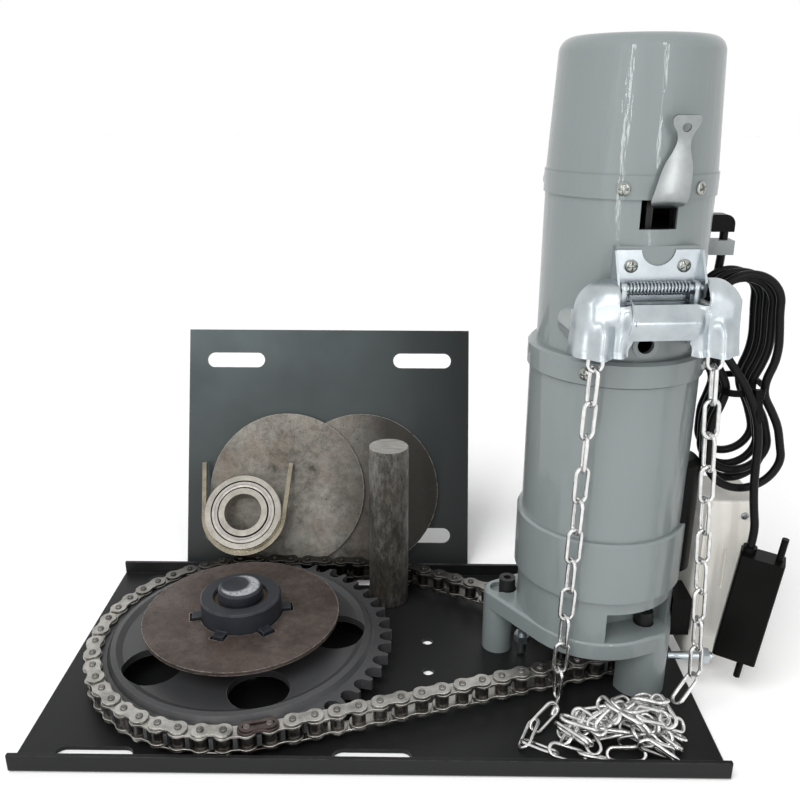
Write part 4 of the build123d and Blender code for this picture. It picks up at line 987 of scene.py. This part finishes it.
# Chain guide: a pressed yoke with two spouts, hung on the hinge pin
GUIDE_HALF = 52.0
GUIDE_BOTTOM = 281.0
GUIDE_BACK = 58.6
GUIDE_T = 1.3
GUIDE_ROWS = 64
GUIDE_FLARE = 0.02
FLARE_Z = (300, GUIDE_BOTTOM)
SHOULDER_Z = 327.0
SHOULDER_R = 18.0
SIDE_R = 9.0
SIDE_Y = 62.0
SIDE_DEEP = 14.0
ROOF_R = 12.0
ROOF_Y = 63.0
ROOF_DEEP = 13.0
WING_LEAN = 2.6
WING_LEAN_Z = (318, 282)
WING_LIP = 1.4
WING_LIP_Z = (285, GUIDE_BOTTOM)
PANEL_HALF = 28.0
PANEL_STEP = 1.4
ROOF_FROM = 30.0
PANEL_TOP = 313.4
PANEL_Y = 74.5
PANEL_SLOPE = 7.5
PANEL_TUCK = 7.0
PANEL_TUCK_Z = (304.5, 286.5)
PANEL_ENDS = (20.5, 26.0)
LEDGE_Z = 304.0
ARCH_SIDE = (18.4, 20.4)
ARCH_Z = 292.5
SPOUT_X = 38.0
SPOUT_Y = -70.0
SPOUT_Z = (307, 295)
SPOUT_WAVES = ((0.0, 3.8, 4.6), (-8.5, 3.2, -2.4), (8.0, 2.8, -1.6))
LEAF = rectangle(-27.4, 27.4, -75.2, -60.5)
LEAF_Z = (311.6, 312.9)
EYE_X = 23.5
EYE_HALF = 1.9
EYE_RING = [(2.7, -1.9), (4.3, -1.9), (4.7, -1.4), (4.7, 1.4), (4.3, 1.9), (2.7, 1.9)]
EYE_LEG = [(-4.4, -10.0), (2.6, -10.0), (3.4, -3.0), (-4.6, -1.0)]
PRESSED_EDGE = 0.3


def guide_top(a):
    """Height of the sheet's upper edge at a distance from its middle."""
    if a < PANEL_HALF:
        return PANEL_TOP
    rise = smooth(a, PANEL_HALF, PANEL_HALF + PANEL_STEP) * (SHOULDER_Z - PANEL_TOP)
    return PANEL_TOP + rise - SHOULDER_R * (1 - arc(a - GUIDE_HALF + SHOULDER_R, SHOULDER_R))


def guide_front(a, z):
    """How far forward the sheet stands, at a distance from its middle and a height."""
    side = SIDE_Y + SIDE_DEEP * arc(a - GUIDE_HALF + SIDE_R, SIDE_R)
    under = max(guide_top(max(a, ROOF_FROM)) - z, 0.0)
    roof = ROOF_Y + ROOF_DEEP * arc(ROOF_R - under, ROOF_R)
    wing = min(side, roof) + WING_LEAN * smooth(z, *WING_LEAN_Z)
    waves = sum(high * math.exp(-((a - SPOUT_X - off) / wide) ** 2) for off, wide, high in SPOUT_WAVES)
    wing += waves * smooth(z, *SPOUT_Z) + WING_LIP * smooth(z, *WING_LIP_Z)
    panel = PANEL_Y + PANEL_SLOPE * min(1.0, (PANEL_TOP - z) / (PANEL_TOP - LEDGE_Z))
    panel -= PANEL_TUCK * smooth(z, *PANEL_TUCK_Z)
    share = smooth(a, *PANEL_ENDS)
    return panel * (1 - share) + wing * share


def make_guide():
    spread = [i / 2 for i in range(-int(2 * GUIDE_HALF), int(2 * GUIDE_HALF) + 1)]
    rows = []
    for j in range(GUIDE_ROWS + 1):
        row = []
        for x in spread:
            a = abs(x)
            low = ARCH_Z - (ARCH_Z - GUIDE_BOTTOM) * smooth(a, *ARCH_SIDE)
            z = low + (guide_top(a) - low) * (1 - j / GUIDE_ROWS)
            row.append((x * (1 + GUIDE_FLARE * smooth(z, *FLARE_Z)), -guide_front(a, z), z))
        first, last = ((x, -GUIDE_BACK, z) for x, _, z in (row[0], row[-1]))
        rows.append([first, *row, last])
    form = Form().put(pressed_sheet(rows, GUIDE_T), mark=0)
    # The leaf takes a darker blue-grey than the zinc, painted shade for the recess under the spring.
    form.put(slab(LEAF, *LEAF_Z, PRESSED_EDGE), mark=1)
    eye = lathe(EYE_RING, 28, ring=True)
    leg = slab(EYE_LEG, -EYE_HALF, EYE_HALF, PRESSED_EDGE)
    for side in (-1, 1):
        place = shift(side * EYE_X, HINGE_Y, HINGE_Z) @ spin(90, "Z") @ spin(90, "X")
        form.put(eye, place, 0)
        form.put(leg, place, 0)
    placed = Form().put(form, HINGE)
    make_piece("pressed_guide", placed, ["zinc", "shaded_leaf"], "guide", ["chain_guide"], sharp=50)


# Brake lever: a bent strip with a flared tab, by distances along it
LEVER_X = 8.0
LEVER_WAY = [(0, -42.0, 370.5), (9, -51.0, 370.0), (16, -57.5, 371.2), (22, -62.3, 375.0), (28, -63.6, 381.0),
             (40, -61.8, 393.0), (50, -60.4, 403.0), (57, -60.6, 410.0), (63, -62.2, 416.0),
             (72, -65.0, 424.5)]
LEVER_WIDE = [(0, 5.4), (12, 7.2), (17, 10.0), (22, 11.4), (30, 10.8), (42, 9.0), (52, 5.2), (57, 4.3),
              (61, 5.2), (66, 8.0), (69, 8.6), (71, 8.0), (72, 6.6)]
LEVER_LEAN = [(0, -1.0), (12, -2.4), (20, -3.0), (30, -1.8), (42, 0.4), (57, 2.4), (72, 1.8)]
LEVER_HOLE = 64.6
LEVER_HOLE_R = 2.8
HOLE_DRAWS = (0.55 * LEVER_HOLE_R, 1.3 * LEVER_HOLE_R)
HOLE_OPEN = 0.93 * LEVER_HOLE_R
LEVER_T = 1.6
LEVER_CROWN = 0.012
CROWN_ALONG = (14, 24)
LEVER_ROWS = 108
LEVER_COLUMNS = 18


def lever_grid():
    """Flat places (across, along) on the strip, drawn to its hole's rim where they are near it."""
    grid = []
    for j in range(LEVER_ROWS + 1):
        t = LEVER_WAY[-1][0] * j / LEVER_ROWS
        half = through(t, LEVER_WIDE)
        grid.append([((2 * i / LEVER_COLUMNS - 1) * half, t) for i in range(LEVER_COLUMNS + 1)])
    for row in grid:
        for i, (x, t) in enumerate(row):
            away = math.hypot(x, t - LEVER_HOLE)
            if HOLE_DRAWS[0] < away < HOLE_DRAWS[1]:
                grow = LEVER_HOLE_R / away
                row[i] = (x * grow, LEVER_HOLE + (t - LEVER_HOLE) * grow)
    return grid


def make_lever():
    flat = lever_grid()
    path_y = [(t, y) for t, y, _ in LEVER_WAY]
    path_z = [(t, z) for t, _, z in LEVER_WAY]

    def bent(x, t):
        crown = LEVER_CROWN * x * x * smooth(t, *CROWN_ALONG)
        return (LEVER_X + x + through(t, LEVER_LEAN), through(t, path_y) + crown, through(t, path_z))

    def keep(i, j):
        spots = (flat[j][i], flat[j][i + 1], flat[j + 1][i], flat[j + 1][i + 1])
        x, t = (sum(values) / 4 for values in zip(*spots))
        return math.hypot(x, t - LEVER_HOLE) > HOLE_OPEN

    rows = [[bent(x, t) for x, t in row] for row in flat]
    form = Form().put(pressed_sheet(rows, LEVER_T, keep), FRONT)
    make_piece("bent_lever", form, ["zinc_dull"], "lever", ["brake_lever"], sharp=45)


# Ball bearing's shields, stepped and let into the rings, over black rings painted as shade in the gaps
BEARING_SEAT = (-130.0, 122.0, 27.4)
BEARING_LEAN = 39.5
BEARING_R = 36.0
BEARING_W = 17.0
SHIELD = [(29.7, 13.4), (29.7, 16.0), (29.3, 16.35), (27.2, 16.35), (26.8, 15.9), (26.2, 15.9), (25.8, 16.25),
          (24.5, 16.1), (24.1, 15.6), (24.1, 13.4)]
SHIELD_GAP_SHADE = [(30.5, 12.4), (30.5, 13.2), (23.0, 13.2), (23.0, 12.4)]


def make_bearing_shields():
    place = shift(*BEARING_SEAT) @ spin(90 - BEARING_LEAN, "X") @ shift(0, BEARING_R, 0)
    shield, gap_shade = (lathe(profile, 96, ring=True) for profile in (SHIELD, SHIELD_GAP_SHADE))
    form = Form()
    for face in (HERE, shift(0, 0, BEARING_W) @ spin(180, "X")):
        form.put(shield, place @ face, 0)
        # The black ring is painted shade, seen in the gaps between shield and rings.
        form.put(gap_shade, place @ face, 1)
    make_piece("bearing_seals", form, ["shield", "cable"], "frame", ["bearing_shields"],
               sharp=30)


# Cross-recessed screws: a head has a radius and a height, and screws round the motor a radius, a height and
# angles. The bracket's two stand either side of the hinge's middle.
HOUSING_SCREW = (4.2, 2.4)
CAP_SCREWS = (56.7, 381.5, (-112, -60, 30, 150))
RING_SCREWS = (61.5, 262.5, (-125, -35, 55, 145))
BRACKET_SCREWS = (17, -57.5, 335)
SCREW_TURN = 23
SCREW_SPOKES = 40
SCREW_RINGS = (0.12, 0.24, 0.36, 0.48, 0.6, 0.72, 0.84, 0.94, 1.0)
RECESS_ARM = 0.13
RECESS_REACH = 0.62
RECESS_DEPTH = 0.55
DOME_FALL = 0.55


def cross_screw(radius, height):
    """A pan head with a cross recess, standing on Z = 0."""
    spokes = SCREW_SPOKES
    points = [(0, 0, height * (1 - RECESS_DEPTH))]
    for share in SCREW_RINGS:
        for i in range(spokes):
            x, y = polar(radius * share, 360 * i / spokes)
            arm, reach = sorted((abs(x) / radius, abs(y) / radius))
            sunk = RECESS_DEPTH * height if arm < RECESS_ARM and reach < RECESS_REACH else 0.0
            points.append((x, y, height * (1 - DOME_FALL * share ** 4) - sunk))
    points += [(*polar(radius, 360 * i / spokes), 0.0) for i in range(spokes)]
    faces = [(0, 1 + i, 1 + (i + 1) % spokes) for i in range(spokes)]
    for r in range(len(SCREW_RINGS)):
        a, b = 1 + r * spokes, 1 + (r + 1) * spokes
        for i in range(spokes):
            j = (i + 1) % spokes
            faces.append((a + i, b + i, b + j, a + j))
    last = 1 + len(SCREW_RINGS) * spokes
    faces.append(tuple(reversed(range(last, last + spokes))))
    return Form().add(points, faces)


def make_screws():
    head = cross_screw(*HOUSING_SCREW)
    places = [spin(a, "Z") @ shift(radius, 0, z) @ spin(90, "Y")
              for radius, z, angles in (CAP_SCREWS, RING_SCREWS) for a in angles]
    x, y, z = BRACKET_SCREWS
    places += [shift(HINGE_X + side * x, y, z) @ spin(90, "X") for side in (-1, 1)]
    form = Form()
    for k, place in enumerate(places):
        form.put(head, FRONT @ place @ spin(SCREW_TURN * k, "Z"))
    make_piece("screw_heads", form, ["screw"], "frame", ["housing_screws"], sharp=30)


# Limit box: a band round its foot, two ribs up its front and three screws in it
BAND_CORNERS = ((281, 27, 7.4), (253.6, 27, 7.0), (253.6, -7, 7.0), (281, -7, 7.4))
BAND_Z = (20.5, 34.0)
BAND_EDGE = 0.5
RIBS_X = (248.6, 252.2)
RIB_WIDE = 1.6
RIB_Y = (-14.9, -13.6)
RIB_Z = (40.0, 150.0)
RIB_EDGE = 0.25
BOX_FRONT = -14.0
BOX_SCREW = (2.9, 1.6)
BOX_SCREWS = ((278, 140), (278, 46), (256, 46))


def make_limit_trim():
    outline = []
    for k, (x, y, radius) in enumerate(BAND_CORNERS):
        outline += [polar(radius, 90 * k + a, x, y) for a in range(0, 91, 15)]
    form = Form().put(slab(outline, *BAND_Z, BAND_EDGE), mark=0)
    for x in RIBS_X:
        form.put(slab(rectangle(x, x + RIB_WIDE, *RIB_Y), *RIB_Z, RIB_EDGE), mark=0)
    head = cross_screw(*BOX_SCREW)
    for x, z in BOX_SCREWS:
        form.put(head, shift(x, BOX_FRONT, z) @ spin(90, "X"), 1)
    make_piece("limit_box_trim", form, ["cream", "zinc_dull"], "frame")


# Cable: one lead from the gland through its hank to the receiver
CABLE_D = 6.0
LEAD_IN = [(248.5, 22, 346), (248.5, 22, 334), (248, 21.6, 321.7), (246, 20.5, 310), (242.6, 19, 298.5),
           (239.2, 17.5, 286.5), (237.4, 16.4, 274)]
LEAD_OUT = [(234.6, -20.6, 292), (237.4, -21.8, 279.5), (243.6, -23.2, 268), (251.6, -24.9, 257),
            (259.8, -26.6, 245.5), (266.8, -28.2, 231.5), (271, -29.3, 217), (272.7, -29.8, 203),
            (273, -30, 188), (273.8, -30.9, 170), (275.7, -32.7, 153), (277.84, -34.59, 138.71),
            (276.59, -34.04, 125.78)]
HANK_LOOPS = 5
HANK_STEP = 8.0
HANK_X = 253.0
HANK_Y = 16.0
HANK_TOP = 300.0
HANK_START = 268.0
HANK_WAIST = 240.0
HANK_LOW = 201.5
HANK_HALF = 19.0
HANK_WAIST_HALF = 8.5
HANK_BULGE = 6.0
HANK_PINCH = 18.0
HANK_SLOPE = 1 / 8
HANK_LEAN = 7.1
TOP_VARIES = 3.0
TOP_WIDENS = 1.2
LOW_VARIES = 3.5
LOW_WIDENS = 0.8
FOLD_POINTS = 5
FOLD_EASE = 1.07
LEG_STEP = 12.0


def hank_centre(z):
    return HANK_X + (HANK_TOP - z) * HANK_SLOPE


def fold(x, y, z, radius, start):
    """Control points of a half turn of the hank in an upright plane."""
    step = 180 / FOLD_POINTS
    far = FOLD_EASE * radius / math.cos(math.radians(step / 2))
    turns = (polar(far, start + step * (i + 0.5), x, z) for i in range(FOLD_POINTS))
    return [(px, y, pz) for px, pz in turns]


def leg(start, end, pinch):
    """Control points of a leg of the hank from one fold to the next, drawn in at the tie."""
    (x0, y0, z0), (x1, y1, z1) = start, end
    count = round(abs(z1 - z0) / LEG_STEP)
    points = []
    for i in range(count):
        share = (i + 0.5) / count
        z = z0 + (z1 - z0) * share
        drawn = pinch * math.exp(-((z - HANK_WAIST) / HANK_PINCH) ** 2)
        points.append((x0 + (x1 - x0) * share + drawn, y0 + (y1 - y0) * share, z))
    return points


def hank_points():
    """Control points of the lead: down from the gland, round the hank's loops and on to the receiver."""
    points = list(LEAD_IN)
    waist = hank_centre(HANK_WAIST)
    lean = math.sin(math.radians(HANK_LEAN))
    top_left = HANK_X - HANK_HALF
    start, y_start = HANK_START, HANK_Y
    for k in range(HANK_LOOPS):
        bulge = HANK_BULGE if k == HANK_LOOPS - 1 else 0.0
        half = HANK_HALF + LOW_WIDENS * k
        top = HANK_TOP - TOP_VARIES * (k % 2)
        low = HANK_LOW - LOW_VARIES * (2 * k % HANK_LOOPS)
        y = HANK_Y - HANK_STEP * k
        y_top = y - HANK_STEP / 2
        left, right = hank_centre(low) - half, hank_centre(low) + half + bulge
        top_right = HANK_X + HANK_HALF + TOP_WIDENS * k
        low_turn, top_turn = (right - left) / 2, (top_right - top_left) / 2
        low_dip, top_dip = low_turn * lean, top_turn * lean
        straight = top_left + (left - top_left) * (start - HANK_WAIST) / (start - low)
        pinch = waist - HANK_WAIST_HALF - straight
        points += leg((top_left, y_start, start), (left, y, low - low_dip), pinch)
        points += fold((right + left) / 2, y, low, low_turn, 180 + HANK_LEAN)
        straight = right + (top_right - right) * (HANK_WAIST - low) / (top - low)
        pinch = waist + HANK_WAIST_HALF + bulge - straight
        points += leg((right, y, low + low_dip), (top_right, y_top, top + top_dip), pinch)
        points += fold((top_right + top_left) / 2, y_top, top, top_turn, HANK_LEAN)
        start, y_start = top - top_dip, y_top
    return points + LEAD_OUT


def make_cable():
    curve = bpy.data.curves.new("cable", "CURVE")
    curve.dimensions = "3D"
    curve.resolution_u = 8
    curve.bevel_depth = CABLE_D / 2 * MM
    curve.bevel_resolution = 4
    curve.use_fill_caps = True
    points = hank_points()
    spline = curve.splines.new("NURBS")
    spline.points.add(len(points) - 1)
    for point, at in zip(spline.points, points):
        point.co = (*(c * MM for c in at), 1)
    spline.order_u = 3
    spline.use_endpoint_u = True
    curve.materials.append(MATERIALS["cable"])
    cable = new_object("cable", curve)
    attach(cable, "frame")
    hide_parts("power_lead", "cable_hank", "receiver_lead")


# Cable tie round the hank's waist, with its head and cut tail
TIE_Y = -1.0
TIE_HALF = (15.2, 22.0)
TIE_SQUARE = 0.55
TIE_TILT = 0.06
TIE_SECTION = ((0.0, -2.3), (0.0, 2.3), (1.3, 2.3), (1.3, -2.3))
TIE_STEPS = 48
TIE_HEAD = ([(-3.2, -3.6), (3.2, -3.6), (3.6, 3.2), (-3.6, 3.2)], 0, 5.0, 0.6)
TIE_HEAD_AT = (6, -0.6, 0.4)
TIE_TAIL = ([(-2.2, 0), (2.2, 0), (2.2, 17), (0, 20), (-2.2, 17)], 0, 1.2, 0.2)
TIE_TAIL_AT = (6, -3.2, -1)
TIE_TAIL_TURN = 65


def rounded(value):
    """A circle's coordinate drawn out towards a square's."""
    return math.copysign(abs(value) ** TIE_SQUARE, value)


def make_cable_tie():
    middle = hank_centre(HANK_WAIST) + HANK_BULGE / 2
    rows = []
    for grow, z in TIE_SECTION:
        row = []
        for i in range(TIE_STEPS):
            x, y = (rounded(c) * (half + grow) for c, half in zip(polar(1, 360 * i / TIE_STEPS), TIE_HALF))
            row.append((middle + x, TIE_Y + y, HANK_WAIST + z + TIE_TILT * x))
        rows.append(row)
    form = stack(rows, ring=True)
    front = shift(middle, TIE_Y - TIE_HALF[1], HANK_WAIST)
    form.put(slab(*TIE_HEAD), front @ shift(*TIE_HEAD_AT) @ spin(90, "X"))
    form.put(slab(*TIE_TAIL), front @ shift(*TIE_TAIL_AT) @ spin(TIE_TAIL_TURN, "X") @ spin(180, "Z"))
    make_piece("cable_tie", form, ["black_plastic"], "frame")


make_camera()
make_cable()
make_cable_tie()
make_floor()
make_world()
make_lamps()
dress_nodes()
make_roller_chain()
make_strands()
make_heap()
make_spring()
make_guide()
make_lever()
make_bearing_shields()
make_limit_trim()
make_screws()
SCENE.view_settings.view_transform = "Standard"
